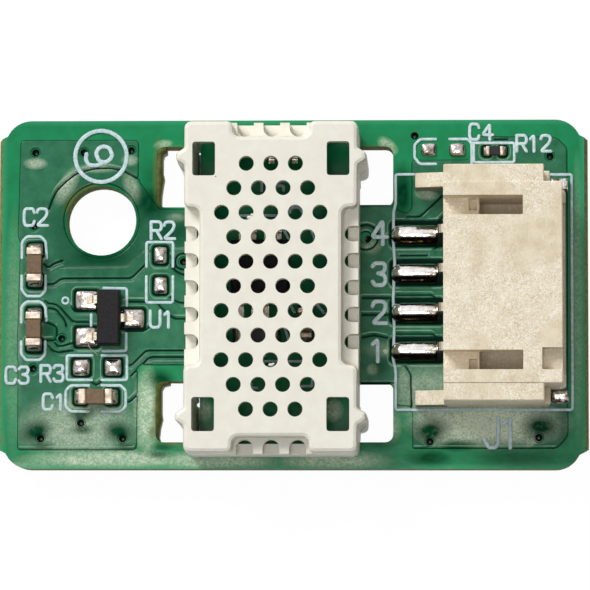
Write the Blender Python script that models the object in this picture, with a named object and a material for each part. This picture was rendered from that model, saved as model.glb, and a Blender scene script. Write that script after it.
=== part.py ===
"""Humidity sensor module: a green circuit board, a vented snap-fit cap and a side-entry connector.

Lengths are in millimetres, and each mesh is turned into metres as its object is made.
The origin is on the ground under the middle of the board, +X points out of the connector's mouth
and +Z is up. The module rests on the tips of the cap's four snap hooks.
"""
import math

import bmesh
import bpy
from mathutils import Matrix, Vector

METRE = 0.001          # one millimetre in Blender's metres
SEAT = 0.02            # gap left between pieces that rest on each other
STEP_BACK = 0.02       # how far joined shapes stay clear of each other's outer faces
OVERRUN = 0.5          # how far a cutter stands past the face that it cuts
WELD_DISTANCE = 0.002  # points this close after a join or a cut become one
ARC_STEP = math.radians(22.5)
FINE_ARC_RADIUS = 1.0   # arcs wider than this are drawn twice as fine
QUARTER_TURN = math.pi / 2

# Board: sizes of the top face, heights from the ground
BOARD_LENGTH = 30.0
BOARD_WIDTH = 18.0
BOARD_THICKNESS = 1.6
BOARD_CLEARANCE = 1.0  # underside of the board above the hook tips
BOARD_TOP = BOARD_CLEARANCE + BOARD_THICKNESS
LEFT, RIGHT = -BOARD_LENGTH / 2, BOARD_LENGTH / 2
FRONT, BACK = -BOARD_WIDTH / 2, BOARD_WIDTH / 2
SCORE_RIDGE = 0.2      # broken web standing out at mid thickness on the two scored ends
SCORE_DEPTH = 0.55
CORNER_LENGTH, CORNER_WIDTH, CORNER_RADIUS = 0.67, 0.8, 1.35
CORNER_KINK = 0.25     # the routed corner meets the scored end this far short of it
KINK_DROP, KINK_RADIUS = 0.22, 0.1

MOUNT_HOLE = (LEFT + 5.13, BACK - 5.19)
MOUNT_HOLE_DIAMETER = 3.6
MOUNT_HOLE_SIDES = 40
VIA_DIAMETER = 0.42
VIA_SIDES = 8
VIAS = [
    (LEFT + 1.7, BACK - 1.65), (LEFT + 4.2, BACK - 1.65), (LEFT + 6.65, BACK - 1.55),
    (LEFT + 1.65, BACK - 5.46), (LEFT + 3.12, FRONT + 6.71), (LEFT + 1.65, FRONT + 5.16),
    (LEFT + 4.12, FRONT + 2.36), (LEFT + 2.06, FRONT + 1.56), (LEFT + 6.29, FRONT + 1.56),
    (LEFT + 9.38, FRONT + 10.68), (RIGHT - 11.08, BACK - 6.19), (RIGHT - 8.71, BACK - 0.82),
    (RIGHT - 1.75, BACK - 1.91), (RIGHT - 7.94, FRONT + 1.4), (RIGHT - 2.37, FRONT + 1.61),
]

# Vent cap: one moulding that spans the board, measured from its own centre on the top face
CAP_CENTRE_X = -0.92
CAP_WIDTH = 8.8
CAP_SETBACK = 0.6      # the cap's ends inside the board's long edges
CAP_LENGTH = BOARD_WIDTH - 2 * CAP_SETBACK
CAP_HEIGHT = 4.6
CAP_WALL = 0.55
CAP_ROOF = 0.6
CAP_CORNER = 0.35
CAP_TOP_ROUNDING = 0.2
RECESS_DEPTH = 0.78
RECESS_INNER_RADIUS, RECESS_OUTER_RADIUS = 0.35, 0.3
LEDGE_DROP = 1.0
LEDGE = CAP_HEIGHT - LEDGE_DROP
SIDE_RECESS_HALF = 3.95
END_RECESS_HALF = 1.91

VENT_DIAMETER = 0.77
VENT_SIDES = 16
VENT_PITCH = 1.242
VENT_ROWS = (3, 4, 5, 4, 5, 4, 5, 4, 5, 4, 3)

NOTCH_WIDTH = 0.78
NOTCH_DEPTH = 0.71
NOTCH_HEIGHT = 1.05    # from the sill to the ledge that the notches open onto
SIDE_NOTCHES, SIDE_NOTCH_PITCH = 5, 1.37
END_NOTCHES, END_NOTCH_PITCH, END_NOTCH_WIDTH = 3, 1.34, 0.86

LEG_INSET = 1.82       # centre of a snap leg from the cap's end
LEG_Y = CAP_LENGTH / 2 - LEG_INSET
LEG_WIDTH = 1.7
LEG_THICKNESS = 0.43
LEG_INNER = CAP_WIDTH / 2 - LEG_THICKNESS
RIB_REACH = 0.42
RIB_HALF_WIDTH = 0.2    # half of a rib's width at its tip, on the cap's wall
RIB_SPREAD = 0.26      # how much wider a rib is where it leaves the wall
RIB_ROUNDING = 0.17
LOWER_RIB_HALF_WIDTH = 0.4   # the same below the cap's rim, where the ribs broaden
LOWER_RIB_ROUNDING = 0.3
RIB_FOOT = 0.25        # end of a rib above the hook tips
RIB_FOOT_ROUNDING = 0.12
HOOK_REACH = 0.5
HOOK_THICKNESS = 0.3
CORE_WIDTH, CORE_LENGTH = 1.15, 1.72
CORE_OFFSET = 0.12     # the core's centre towards the middle of the cap from the leg's
CORE_CORNER = 0.15

SLOT_INNER = LEG_INNER - 0.14         # the board's snap slots, from the cap's centre line
SLOT_OUTER = CAP_WIDTH / 2 + 1.70
SLOT_NEAR, SLOT_FAR = LEG_Y - 2.08, LEG_Y + 1.05
SLOT_CORNER = 0.4

# Connector: four ways at 2 mm pitch, opening towards +X. Its x is measured from the rear face
PITCH = 2.0
WAYS = 4
FRONT_SETBACK = 1.25   # the housing's front inside the board's end
CONNECTOR_Y = 0.10
HOUSING_LENGTH = 5.98
HOUSING_REAR = RIGHT - FRONT_SETBACK - HOUSING_LENGTH
END_MARGIN = 2.08      # from an outer contact to the housing's side
HOUSING_HALF = (WAYS - 1) * PITCH / 2 + END_MARGIN
HOUSING_HEIGHT = 5.5
HOUSING_EDGE = 0.06
SIDE_BLOCK_LENGTH, SIDE_BLOCK_WIDTH, SIDE_BLOCK_DROP = 5.05, 0.87, 0.05
SIDE_BLOCK_HALF = HOUSING_HALF + SIDE_BLOCK_WIDTH
WING_LENGTH, WING_THICKNESS = 1.44, 0.73
WING_REAR_HEIGHT, WING_ROOT_HEIGHT, WING_ROOT = 1.75, 2.3, 0.4
FLANGE_REACH, FLANGE_HEIGHT = 0.36, 2.65
LIP_REACH, LIP_HEIGHT, LIP_EDGE = 0.25, 1.6, 0.12
REAR_WALL, SIDE_WALL, FLOOR_WALL, ROOF_WALL = 1.83, 0.68, 0.9, 1.3
CAVITY_HALF = HOUSING_HALF - SIDE_WALL
CAVITY_ROOF = HOUSING_HEIGHT - ROOF_WALL
WINDOW_WIDTH, WINDOW_END = 0.98, 3.99
WINDOW_OUTER = CAVITY_HALF - STEP_BACK
WINDOW_INNER = WINDOW_OUTER - WINDOW_WIDTH
REAR_RECESS_DEPTH = 1.4
LOCK_POCKET_START, LOCK_POCKET_WIDTH, LOCK_POCKET_DEPTH = 1.28, 0.59, 0.45
KEYWAY_LENGTH, KEYWAY_WIDTH, KEYWAY_DEPTH = 1.05, 1.1, 0.95

LEAD_WIDTH = 0.44
LEAD_THICKNESS = 0.32
POST_SETBACK = 0.85    # the posts' tips inside the housing's front
POST_HEIGHT = 2.55
POST_CHAMFER = 0.1
FOOT_LENGTH = 2.53
FOOT_BEND = 0.38
SOLDER_HEIGHT = 0.12
SOLDER_MARGIN = 0.07   # solder showing past the ends of a contact's foot
SOLDER_FLANK = 0.28    # solder showing along each side of a contact's foot
SOLDER_ROUNDING = 0.1
TAB_HEIGHT, TAB_REACH, TAB_ROUNDING = 0.8, 0.15, 0.22
TAB_INSET = 0.17       # the hold-down tab inside the side block's outer face

# Chips: length over the terminations, width, height, termination length
CHIP_0402 = (1.0, 0.5, 0.35, 0.25)
CHIP_0603 = (1.6, 0.8, 0.8, 0.32)
CHIP_0805 = (2.0, 1.25, 0.55, 0.4)
BODY_STEP = 0.02       # a chip's bare body below its terminations
SOLDER_TOE = 0.05      # thickness of the solder at the outer end of a chip's pad
CLIMB_SHARE = 0.62     # how far solder climbs a termination

# Leaded packages: body length, width, standoff, top and draft, then the leads
TRANSISTOR_PLACE = (LEFT + 5.60, FRONT + 7.73)
TRANSISTOR_BODY = (1.22, 2.9, 0.16, 1.14, 0.07)
TRANSISTOR_LEADS = {"a": (-1, 0.95), "b": (-1, -0.95), "c": (1, 0.0)}
TRANSISTOR_LEAD_WIDTH, TRANSISTOR_LEAD_REACH, TRANSISTOR_LEAD_EXIT = 0.42, 0.59, 0.72
TRANSISTOR_PAD_LENGTH, TRANSISTOR_PAD_WIDTH, PAD_HEIGHT = 1.22, 1.02, 0.1
PAD_ROUNDING = 0.05
PAD_OVERLAP = 0.03     # how far a transistor's pad reaches under its body
CHIP_PLACE = (CAP_CENTRE_X - 0.72, 1.25)
CHIP_BODY = (3.0, 3.0, 0.12, 0.95, 0.08)
CHIP_LEAD_PITCH, CHIP_LEAD_WIDTH, CHIP_LEAD_REACH, CHIP_LEAD_EXIT = 0.65, 0.26, 0.90, 0.6
PACKAGE_EDGE = 0.03
GULL_THICKNESS = 0.12
GULL_KNEE = 0.42       # share of a lead's reach at which it steps down

# Humidity element: an upright plate just inside the end wall of the cap
ELEMENT_X = CAP_CENTRE_X + 0.43
PLATE_LENGTH, PLATE_THICKNESS, PLATE_HEIGHT = 3.2, 0.5, 2.5
PLATE_GAP = 0.15       # from the plate to the cap's end wall
FILM_THICKNESS, FILM_MARGIN, FILM_BOTTOM = 0.06, 0.3, 1.0
ELEMENT_LEAD_SPACING, ELEMENT_LEAD_WIDTH = 1.2, 0.3
ELEMENT_LEAD_THICKNESS, ELEMENT_LEAD_REACH, ELEMENT_LEAD_HEIGHT = 0.18, 0.45, 0.8

# Empty footprints: centre, length and width of each rounded solder bump
BUMP_HEIGHT, BUMP_ROUNDING = 0.18, 0.16
BUMPS = [
    (CAP_CENTRE_X - 5.88, 2.00, 0.72, 0.90), (CAP_CENTRE_X - 5.88, 0.44, 0.72, 0.90),
    (LEFT + 4.15, FRONT + 5.22, 0.92, 0.88), (LEFT + 5.78, FRONT + 5.22, 0.92, 0.88),
    (RIGHT - 7.99, BACK - 1.56, 0.82, 0.70), (RIGHT - 6.52, BACK - 1.56, 0.82, 0.70),
]


def clear_scene():
    for old in list(bpy.data.objects):
        bpy.data.objects.remove(old, do_unlink=True)


clear_scene()
parts = bpy.data.collections.new("humidity_sensor_module")
cutters = bpy.data.collections.new("cutters")
bpy.context.scene.collection.children.link(parts)
bpy.context.scene.collection.children.link(cutters)
module = bpy.data.objects.new("module", None)
parts.objects.link(module)


# Materials, with the colours of the photographed module
def finish(name, red, green, blue, roughness, metallic=0.0):
    """Principled material from an 8-bit display colour."""
    linear = [((c / 255 + 0.055) / 1.055) ** 2.4 for c in (red, green, blue)]
    made = bpy.data.materials.new(name)
    made.use_nodes = True
    shader = made.node_tree.nodes["Principled BSDF"]
    shader.inputs["Base Color"].default_value = (*linear, 1)
    shader.inputs["Roughness"].default_value = roughness
    shader.inputs["Metallic"].default_value = metallic
    made.diffuse_color = (*linear, 1)
    return made


SOLDER_MASK = finish("green_solder_mask", 40, 112, 78, 0.35)
CAP_PLASTIC = finish("off_white_plastic", 236, 233, 222, 0.5)
HOUSING_PLASTIC = finish("beige_glass_filled_plastic", 218, 205, 180, 0.6)
TINNED = finish("tinned_brass", 205, 205, 200, 0.3, 1.0)
SOLDER = finish("solder", 215, 215, 212, 0.2, 1.0)
CERAMIC = finish("brown_ceramic", 150, 115, 85, 0.45)
RESISTOR_BLACK = finish("resistor_glaze", 28, 26, 28, 0.3)
EPOXY = finish("black_moulding_compound", 38, 34, 38, 0.6)
ALUMINA = finish("white_alumina", 232, 230, 222, 0.55)
SENSING_FILM = finish("sensing_film", 70, 62, 50, 0.5)


# Outlines and meshes
def rounded(corners):
    """Points of a closed outline whose corners, given as (x, y, radius), become tangent arcs."""
    points = []
    for index, (x, y, radius) in enumerate(corners):
        corner = Vector((x, y))
        if radius == 0:
            points.append(corner)
            continue
        before = (Vector(corners[index - 1][:2]) - corner).normalized()
        after = (Vector(corners[(index + 1) % len(corners)][:2]) - corner).normalized()
        half_angle = before.angle(after) / 2
        centre = corner + (before + after).normalized() * radius / math.sin(half_angle)
        start = corner + before * radius / math.tan(half_angle) - centre
        end = corner + after * radius / math.tan(half_angle) - centre
        turn = math.atan2(start.cross(end), start.dot(end))
        step_angle = ARC_STEP / 2 if radius > FINE_ARC_RADIUS else ARC_STEP
        steps = max(1, round(abs(turn) / step_angle))
        points += [centre + Matrix.Rotation(turn * step / steps, 2) @ start for step in range(steps + 1)]
    return points


def circle(x, y, diameter, segments):
    """Points of a circle, as a polygon."""
    angles = [2 * math.pi * (step + 0.5) / segments for step in range(segments)]
    return [Vector((x + diameter / 2 * math.cos(a), y + diameter / 2 * math.sin(a))) for a in angles]


def rectangle(x0, x1, y0, y1, radius=0):
    """Points of a rectangle with rounded corners."""
    return rounded([(x0, y0, radius), (x1, y0, radius), (x1, y1, radius), (x0, y1, radius)])


def four_fold(quarter):
    """Corners of a closed outline from its first quadrant, listed from the x axis to the y axis."""
    left = [(-x, y, r) for x, y, r in reversed(quarter)]
    lower_left = [(-x, -y, r) for x, y, r in quarter]
    lower_right = [(x, -y, r) for x, y, r in reversed(quarter)]
    return quarter + left + lower_left + lower_right


def extruded(outlines, bottom, top):
    """Mesh of flat outlines, the holes among them, extruded from one height to another."""
    curve = bpy.data.curves.new("outline", "CURVE")
    curve.dimensions = "2D"
    curve.fill_mode = "BOTH"
    curve.extrude = (top - bottom) / 2
    for outline in outlines:
        spline = curve.splines.new("POLY")
        spline.points.add(len(outline) - 1)
        spline.use_cyclic_u = True
        for point, (x, y) in zip(spline.points, outline):
            point.co = (x, y, 0, 1)
    guide = bpy.data.objects.new("outline", curve)
    filled = bpy.data.meshes.new_from_object(guide)
    bpy.data.objects.remove(guide)
    shape = bmesh.new()
    shape.from_mesh(filled)
    bpy.data.meshes.remove(filled)
    bmesh.ops.remove_doubles(shape, verts=shape.verts, dist=WELD_DISTANCE)
    bmesh.ops.dissolve_degenerate(shape, dist=WELD_DISTANCE, edges=shape.edges)
    bmesh.ops.dissolve_limit(shape, angle_limit=math.radians(0.5), verts=shape.verts, edges=shape.edges)
    bmesh.ops.translate(shape, vec=(0, 0, (bottom + top) / 2), verts=shape.verts)
    return shape


def side_profile(corners, width, y=0.0):
    """Mesh of an outline drawn in x and z and extruded across y, centred on the given y."""
    shape = extruded([rounded(corners)], -width / 2, width / 2)
    bmesh.ops.rotate(shape, cent=(0, 0, 0), matrix=Matrix.Rotation(math.pi / 2, 3, "X"), verts=shape.verts)
    bmesh.ops.translate(shape, vec=(0, y, 0), verts=shape.verts)
    return shape


def box(x0, x1, y0, y1, z0, z1):
    """Mesh of a plain box between its six faces."""
    shape = bmesh.new()
    size = Matrix.Diagonal((x1 - x0, y1 - y0, z1 - z0, 1))
    middle = Matrix.Translation(((x0 + x1) / 2, (y0 + y1) / 2, (z0 + z1) / 2))
    bmesh.ops.create_cube(shape, size=1, matrix=middle @ size)
    return shape


def round_edges(shape, radius, segments, chosen=lambda edge: True):
    """Rounds the chosen edges of a mesh."""
    edges = [edge for edge in shape.edges if chosen(edge)]
    bmesh.ops.bevel(shape, geom=edges, offset=radius, segments=segments, profile=0.5, affect="EDGES")
    return shape


def rim_at(height):
    """Picks the edges between a flat top at this height and the faces that fall away from it."""
    def chosen(edge):
        level = all(abs(vert.co.z - height) < 0.001 for vert in edge.verts)
        return level and any(abs(face.normal.z) < 0.5 for face in edge.link_faces)
    return chosen


def merged(shapes):
    """One mesh from several."""
    whole = bmesh.new()
    for shape in shapes:
        part_mesh = bpy.data.meshes.new("piece")
        shape.to_mesh(part_mesh)
        shape.free()
        whole.from_mesh(part_mesh)
        bpy.data.meshes.remove(part_mesh)
    return whole


def make(name, shape, material, place=(0, 0, 0), turn=0.0, collection=parts):
    """Object in metres from a mesh in millimetres, turned about +Z and set at its place."""
    bmesh.ops.recalc_face_normals(shape, faces=shape.faces)
    bmesh.ops.scale(shape, vec=(METRE, METRE, METRE), verts=shape.verts)
    mesh = bpy.data.meshes.new(name)
    shape.to_mesh(mesh)
    shape.free()
    mesh.materials.append(material)
    mesh.shade_smooth()
    mesh.set_sharp_from_angle(angle=math.radians(35))
    made = bpy.data.objects.new(name, mesh)
    made.location = Vector(place) * METRE
    made.rotation_euler.z = turn
    made.parent = module
    collection.objects.link(made)
    return made


def combine(target, operation, name, shape, solver="EXACT"):
    """Joins a mesh to an object or cuts it away; the mesh is in the object's own millimetres."""
    place = target.location / METRE
    tool = make(name, shape, target.data.materials[0], place, target.rotation_euler.z, cutters)
    tool.hide_render = True
    tool.display_type = "WIRE"
    boolean = target.modifiers.new(name, "BOOLEAN")
    boolean.operation = operation
    boolean.object = tool
    boolean.solver = solver
    weld = target.modifiers.new(name + "_weld", "WELD")
    weld.merge_threshold = WELD_DISTANCE * METRE


# Circuit board: routed long edges with rounded corners, and two ends broken along a score line
def snap_slots():
    """Outlines of the four slots that the cap's legs pass through."""
    slots = []
    for side in (-1, 1):
        for end in (-1, 1):
            xs = sorted((CAP_CENTRE_X + side * SLOT_INNER, CAP_CENTRE_X + side * SLOT_OUTER))
            ys = sorted((end * SLOT_NEAR, end * SLOT_FAR))
            slots.append(rectangle(*xs, *ys, SLOT_CORNER))
    return slots


def score_grooves():
    """Cutters that leave each scored end as a ridge at mid thickness."""
    break_line = RIGHT + SCORE_RIDGE
    slope = SCORE_RIDGE / SCORE_DEPTH
    grooves = []
    for side in (-1, 1):
        for face, outwards in ((0, -1), (BOARD_THICKNESS, 1)):
            root = (side * break_line, face - outwards * SCORE_DEPTH, 0)
            inner = (side * (RIGHT - OVERRUN * slope), face + outwards * OVERRUN, 0)
            outer = (side * (break_line + SCORE_RIDGE), face + outwards * OVERRUN, 0)
            grooves.append(side_profile([root, inner, outer], BOARD_WIDTH + 2 * OVERRUN))
    return merged(grooves)


def build_board():
    corner = [(RIGHT + SCORE_RIDGE, BACK - CORNER_WIDTH - KINK_DROP, 0),
              (RIGHT - CORNER_KINK, BACK - CORNER_WIDTH, KINK_RADIUS),
              (RIGHT - CORNER_LENGTH, BACK, CORNER_RADIUS)]
    outlines = [rounded(four_fold(corner)), circle(*MOUNT_HOLE, MOUNT_HOLE_DIAMETER, MOUNT_HOLE_SIDES)]
    board = make("circuit_board", extruded(outlines + snap_slots(), 0, BOARD_THICKNESS),
                 SOLDER_MASK, (0, 0, BOARD_CLEARANCE))
    drills = [circle(x, y, VIA_DIAMETER, VIA_SIDES) for x, y in VIAS]
    combine(board, "DIFFERENCE", "via_drills", extruded(drills, -OVERRUN, BOARD_THICKNESS + OVERRUN))
    combine(board, "DIFFERENCE", "score_grooves", score_grooves())
    return board


# Vent cap: roof with staggered holes, side and end recesses, slotted walls, four snap legs
def cap_corners(recessed, inset=0.0, ribbed=True):
    """Corner list of the cap's outline, drawn inset, with or without its recesses and leg ribs."""
    half_x = CAP_WIDTH / 2 - inset
    half_y = CAP_LENGTH / 2 - inset
    inner, outer = RECESS_INNER_RADIUS, RECESS_OUTER_RADIUS
    quarter = []
    if recessed:
        side_step = SIDE_RECESS_HALF + inset
        quarter += [(half_x - RECESS_DEPTH, side_step, inner), (half_x, side_step, outer)]
    if ribbed:
        root, tip = RIB_HALF_WIDTH + RIB_SPREAD - inset, RIB_HALF_WIDTH - inset
        soft = RIB_ROUNDING
        quarter += [(half_x, LEG_Y - root, soft), (half_x + RIB_REACH, LEG_Y - tip, soft),
                    (half_x + RIB_REACH, LEG_Y + tip, soft), (half_x, LEG_Y + root, soft)]
    quarter.append((half_x, half_y, CAP_CORNER))
    if recessed:
        end_step = END_RECESS_HALF + inset
        quarter += [(end_step, half_y, outer), (end_step, half_y - RECESS_DEPTH, inner)]
    return four_fold(quarter)


def vent_outlines():
    """Staggered rows of round holes, centred on the roof."""
    holes = []
    for row, count in enumerate(VENT_ROWS):
        y = ((len(VENT_ROWS) - 1) / 2 - row) * VENT_PITCH
        for index in range(count):
            x = (index - (count - 1) / 2) * VENT_PITCH
            holes.append(circle(x, y, VENT_DIAMETER, VENT_SIDES))
    return holes


def notch_outlines():
    """Round-ended slots let into the walls from outside, along both sides and both ends."""
    half, end_half = NOTCH_WIDTH / 2, END_NOTCH_WIDTH / 2
    inner_x = CAP_WIDTH / 2 - NOTCH_DEPTH
    inner_y = CAP_LENGTH / 2 - NOTCH_DEPTH
    reach = NOTCH_DEPTH + OVERRUN
    notches = []
    for side in (-1, 1):
        for index in range(SIDE_NOTCHES):
            y = (index - (SIDE_NOTCHES - 1) / 2) * SIDE_NOTCH_PITCH
            corners = [(inner_x, y - half, half), (inner_x + reach, y - half, 0),
                       (inner_x + reach, y + half, 0), (inner_x, y + half, half)]
            notches.append(rounded([(side * x, y, r) for x, y, r in corners]))
        for index in range(END_NOTCHES):
            x = (index - (END_NOTCHES - 1) / 2) * END_NOTCH_PITCH
            corners = [(x - end_half, inner_y, end_half), (x - end_half, inner_y + reach, 0),
                       (x + end_half, inner_y + reach, 0), (x + end_half, inner_y, end_half)]
            notches.append(rounded([(x, side * y, r) for x, y, r in corners]))
    return notches


def snap_hooks():
    """Four legs whose hooks point inwards and catch under the board."""
    outer = CAP_WIDTH / 2 - STEP_BACK
    inner = LEG_INNER + STEP_BACK
    barb = inner - HOOK_REACH
    shelf = -(BOARD_THICKNESS + SEAT)
    tip = -(BOARD_THICKNESS + BOARD_CLEARANCE)
    profile = [(outer, OVERRUN, 0), (inner, OVERRUN, 0), (inner, shelf, 0), (barb, shelf, 0.05),
               (barb, shelf - HOOK_THICKNESS, 0.1), (inner - 0.05, tip, 0.05), (outer, tip, 0.08)]
    hooks = []
    for side in (-1, 1):
        for end in (-1, 1):
            hand = [(side * x, z, r) for x, z, r in profile]
            hooks.append(side_profile(hand, LEG_WIDTH, end * LEG_Y))
    return merged(hooks)


def leg_ribs():
    """The ribs carried down the outside of the four legs, below the cap's rim."""
    root = CAP_WIDTH / 2 - 0.2
    tip = CAP_WIDTH / 2 + RIB_REACH - STEP_BACK
    half = LOWER_RIB_HALF_WIDTH
    base = half + RIB_SPREAD / 2
    foot = RIB_FOOT - BOARD_THICKNESS - BOARD_CLEARANCE
    soft = LOWER_RIB_ROUNDING
    corners = [(root, -base, 0), (tip, -half, soft), (tip, half, soft), (root, base, 0)]
    ribs = []
    for side in (-1, 1):
        for end in (-1, 1):
            outline = rounded([(side * x, end * LEG_Y + y, r) for x, y, r in corners])
            rib = extruded([outline], foot, OVERRUN)
            ribs.append(round_edges(rib, RIB_FOOT_ROUNDING, 2, rim_at(foot)))
    return merged(ribs)


def core_outlines():
    """Openings over the hooks, left by the cores that form them."""
    core_y = LEG_Y - CORE_OFFSET
    openings = []
    for side in (-1, 1):
        for end in (-1, 1):
            xs = sorted((side * LEG_INNER, side * (LEG_INNER - CORE_WIDTH)))
            ys = (end * core_y - CORE_LENGTH / 2, end * core_y + CORE_LENGTH / 2)
            openings.append(rectangle(*xs, *ys, CORE_CORNER))
    return openings


def build_cap():
    inside = CAP_HEIGHT - CAP_ROOF
    overlap = 0.4   # how far the upper part of the cap and its cavity reach into the lower part
    cap = make("vent_cap", extruded([rounded(cap_corners(False))], SEAT, LEDGE),
               CAP_PLASTIC, (CAP_CENTRE_X, 0, BOARD_TOP))

    def cut_or_join(operation, name, shape):
        combine(cap, operation, name, shape, "MANIFOLD")

    notches = extruded(notch_outlines(), LEDGE - NOTCH_HEIGHT, LEDGE + OVERRUN)
    cut_or_join("DIFFERENCE", "cap_notches", notches)
    lower = extruded([rounded(cap_corners(False, CAP_WALL, False))], -OVERRUN, LEDGE - CAP_ROOF)
    cut_or_join("DIFFERENCE", "cap_lower_cavity", lower)
    top = extruded([rounded(cap_corners(True, STEP_BACK))], LEDGE - overlap, CAP_HEIGHT)
    cut_or_join("UNION", "cap_top", round_edges(top, CAP_TOP_ROUNDING, 2, rim_at(CAP_HEIGHT)))
    upper = extruded([rounded(cap_corners(True, CAP_WALL + STEP_BACK, False))],
                     LEDGE - CAP_ROOF - overlap, inside)
    cut_or_join("DIFFERENCE", "cap_upper_cavity", upper)
    cut_or_join("DIFFERENCE", "cap_vents", extruded(vent_outlines(), inside - OVERRUN, CAP_HEIGHT + OVERRUN))
    cut_or_join("DIFFERENCE", "cap_cores", extruded(core_outlines(), -OVERRUN, CAP_HEIGHT + OVERRUN))
    cut_or_join("UNION", "snap_hooks", snap_hooks())
    cut_or_join("UNION", "leg_ribs", leg_ribs())
    facets = cap.modifiers.new("facets", "TRIANGULATE")
    facets.ngon_method = "BEAUTY"
    return cap


# Connector housing: box with side blocks, rear wings and front flanges, hollow towards +X
def contact_rows():
    """Contacts across y, the first of them nearest the front edge of the board."""
    return [(index - (WAYS - 1) / 2) * PITCH for index in range(WAYS)]


def housing_shoulders(side):
    """Side block, rear wing and front flange on one side of the housing."""
    across = (side * (HOUSING_HALF - 0.3), side * SIDE_BLOCK_HALF)
    block = box(0.01, SIDE_BLOCK_LENGTH, *sorted(across), SEAT, HOUSING_HEIGHT - SIDE_BLOCK_DROP)
    profile = [(-WING_LENGTH, SEAT, 0), (WING_ROOT, SEAT, 0), (WING_ROOT, WING_ROOT_HEIGHT, 0),
               (-WING_LENGTH, WING_REAR_HEIGHT, HOUSING_EDGE)]
    wing_y = SIDE_BLOCK_HALF - WING_THICKNESS / 2 - STEP_BACK
    across = (side * (HOUSING_HALF - 0.25), side * (SIDE_BLOCK_HALF - STEP_BACK))
    flange = box(SIDE_BLOCK_LENGTH - OVERRUN, SIDE_BLOCK_LENGTH + FLANGE_REACH, *sorted(across),
                 SEAT + STEP_BACK, FLANGE_HEIGHT)
    return {
        "side_block": round_edges(block, HOUSING_EDGE, 1),
        "rear_wing": side_profile(profile, WING_THICKNESS, side * wing_y),
        "front_flange": round_edges(flange, HOUSING_EDGE, 1),
    }


def housing_openings(side):
    """Window, rear recess and lock pocket cut down into one side of the housing's roof."""
    top = HOUSING_HEIGHT + OVERRUN
    recess_floor = HOUSING_HEIGHT - REAR_RECESS_DEPTH
    across = sorted((side * WINDOW_INNER, side * WINDOW_OUTER))
    pocket = sorted((side * (WINDOW_OUTER - 0.03), side * (WINDOW_OUTER - 0.03 - LOCK_POCKET_WIDTH)))
    pocket_end = REAR_WALL - 0.12
    return {
        "window": box(REAR_WALL - 2 * STEP_BACK, WINDOW_END, *across, CAVITY_ROOF - OVERRUN, top),
        "rear_recess": box(-OVERRUN, REAR_WALL + 0.3, *across, recess_floor, top),
        "lock_pocket": box(LOCK_POCKET_START, pocket_end, *pocket, recess_floor - LOCK_POCKET_DEPTH, top),
    }


def build_housing():
    shell = box(0, HOUSING_LENGTH, -HOUSING_HALF, HOUSING_HALF, SEAT, HOUSING_HEIGHT)
    housing = make("connector_housing", round_edges(shell, HOUSING_EDGE, 1),
                   HOUSING_PLASTIC, (HOUSING_REAR, CONNECTOR_Y, BOARD_TOP))
    sides = ((-1, "right"), (1, "left"))
    for side, hand in sides:
        for name, shape in housing_shoulders(side).items():
            combine(housing, "UNION", f"{name}_{hand}", shape)
    front = HOUSING_LENGTH + LIP_REACH
    lip_half = HOUSING_HALF - STEP_BACK
    lip = box(HOUSING_LENGTH - OVERRUN, front, -lip_half, lip_half, SEAT + STEP_BACK, LIP_HEIGHT)
    combine(housing, "UNION", "front_lip", round_edges(lip, LIP_EDGE, 1))
    mouth = box(REAR_WALL, front + OVERRUN, -CAVITY_HALF, CAVITY_HALF, FLOOR_WALL, CAVITY_ROOF)
    combine(housing, "DIFFERENCE", "mouth", mouth)
    for side, hand in sides:
        for name, shape in housing_openings(side).items():
            combine(housing, "DIFFERENCE", f"{name}_{hand}", shape)
    keyway = box(HOUSING_LENGTH - KEYWAY_LENGTH, front, -WINDOW_OUTER, KEYWAY_WIDTH - WINDOW_OUTER,
                 HOUSING_HEIGHT - KEYWAY_DEPTH, HOUSING_HEIGHT + OVERRUN)
    combine(housing, "DIFFERENCE", "keyway", keyway)
    half_width = LEAD_WIDTH / 2 + SEAT
    half_thickness = LEAD_THICKNESS / 2 + SEAT
    holes = [box(-OVERRUN, REAR_WALL + OVERRUN, y - half_width, y + half_width,
                 POST_HEIGHT - half_thickness, POST_HEIGHT + half_thickness) for y in contact_rows()]
    combine(housing, "DIFFERENCE", "contact_holes", merged(holes))
    return housing


# Contacts: each is one bent square wire, a post in the mouth and a foot soldered behind the housing
def contact_profile():
    tip = HOUSING_LENGTH - POST_SETBACK
    low, high = POST_HEIGHT - LEAD_THICKNESS / 2, POST_HEIGHT + LEAD_THICKNESS / 2
    sole = SOLDER_HEIGHT + SEAT
    instep = sole + LEAD_THICKNESS
    front, back = -SEAT, -SEAT - LEAD_THICKNESS
    return [(tip, high, POST_CHAMFER), (back, high, FOOT_BEND), (back, instep, 0), (-FOOT_LENGTH, instep, 0),
            (-FOOT_LENGTH, sole, 0), (front, sole, FOOT_BEND), (front, low, 0), (tip, low, POST_CHAMFER)]


def build_contacts():
    for number, y in enumerate(contact_rows(), 1):
        place = (HOUSING_REAR, CONNECTOR_Y + y, BOARD_TOP)
        make(f"connector_pin_{number}", side_profile(contact_profile(), LEAD_WIDTH), TINNED, place)
        half = LEAD_WIDTH / 2 + SOLDER_FLANK
        joint = box(-FOOT_LENGTH - SOLDER_MARGIN, -SOLDER_MARGIN, -half, half, SEAT, SOLDER_HEIGHT)
        round_edges(joint, SOLDER_ROUNDING, 2, rim_at(SOLDER_HEIGHT))
        make(f"pin_solder_{number}", joint, SOLDER, place)


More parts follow.
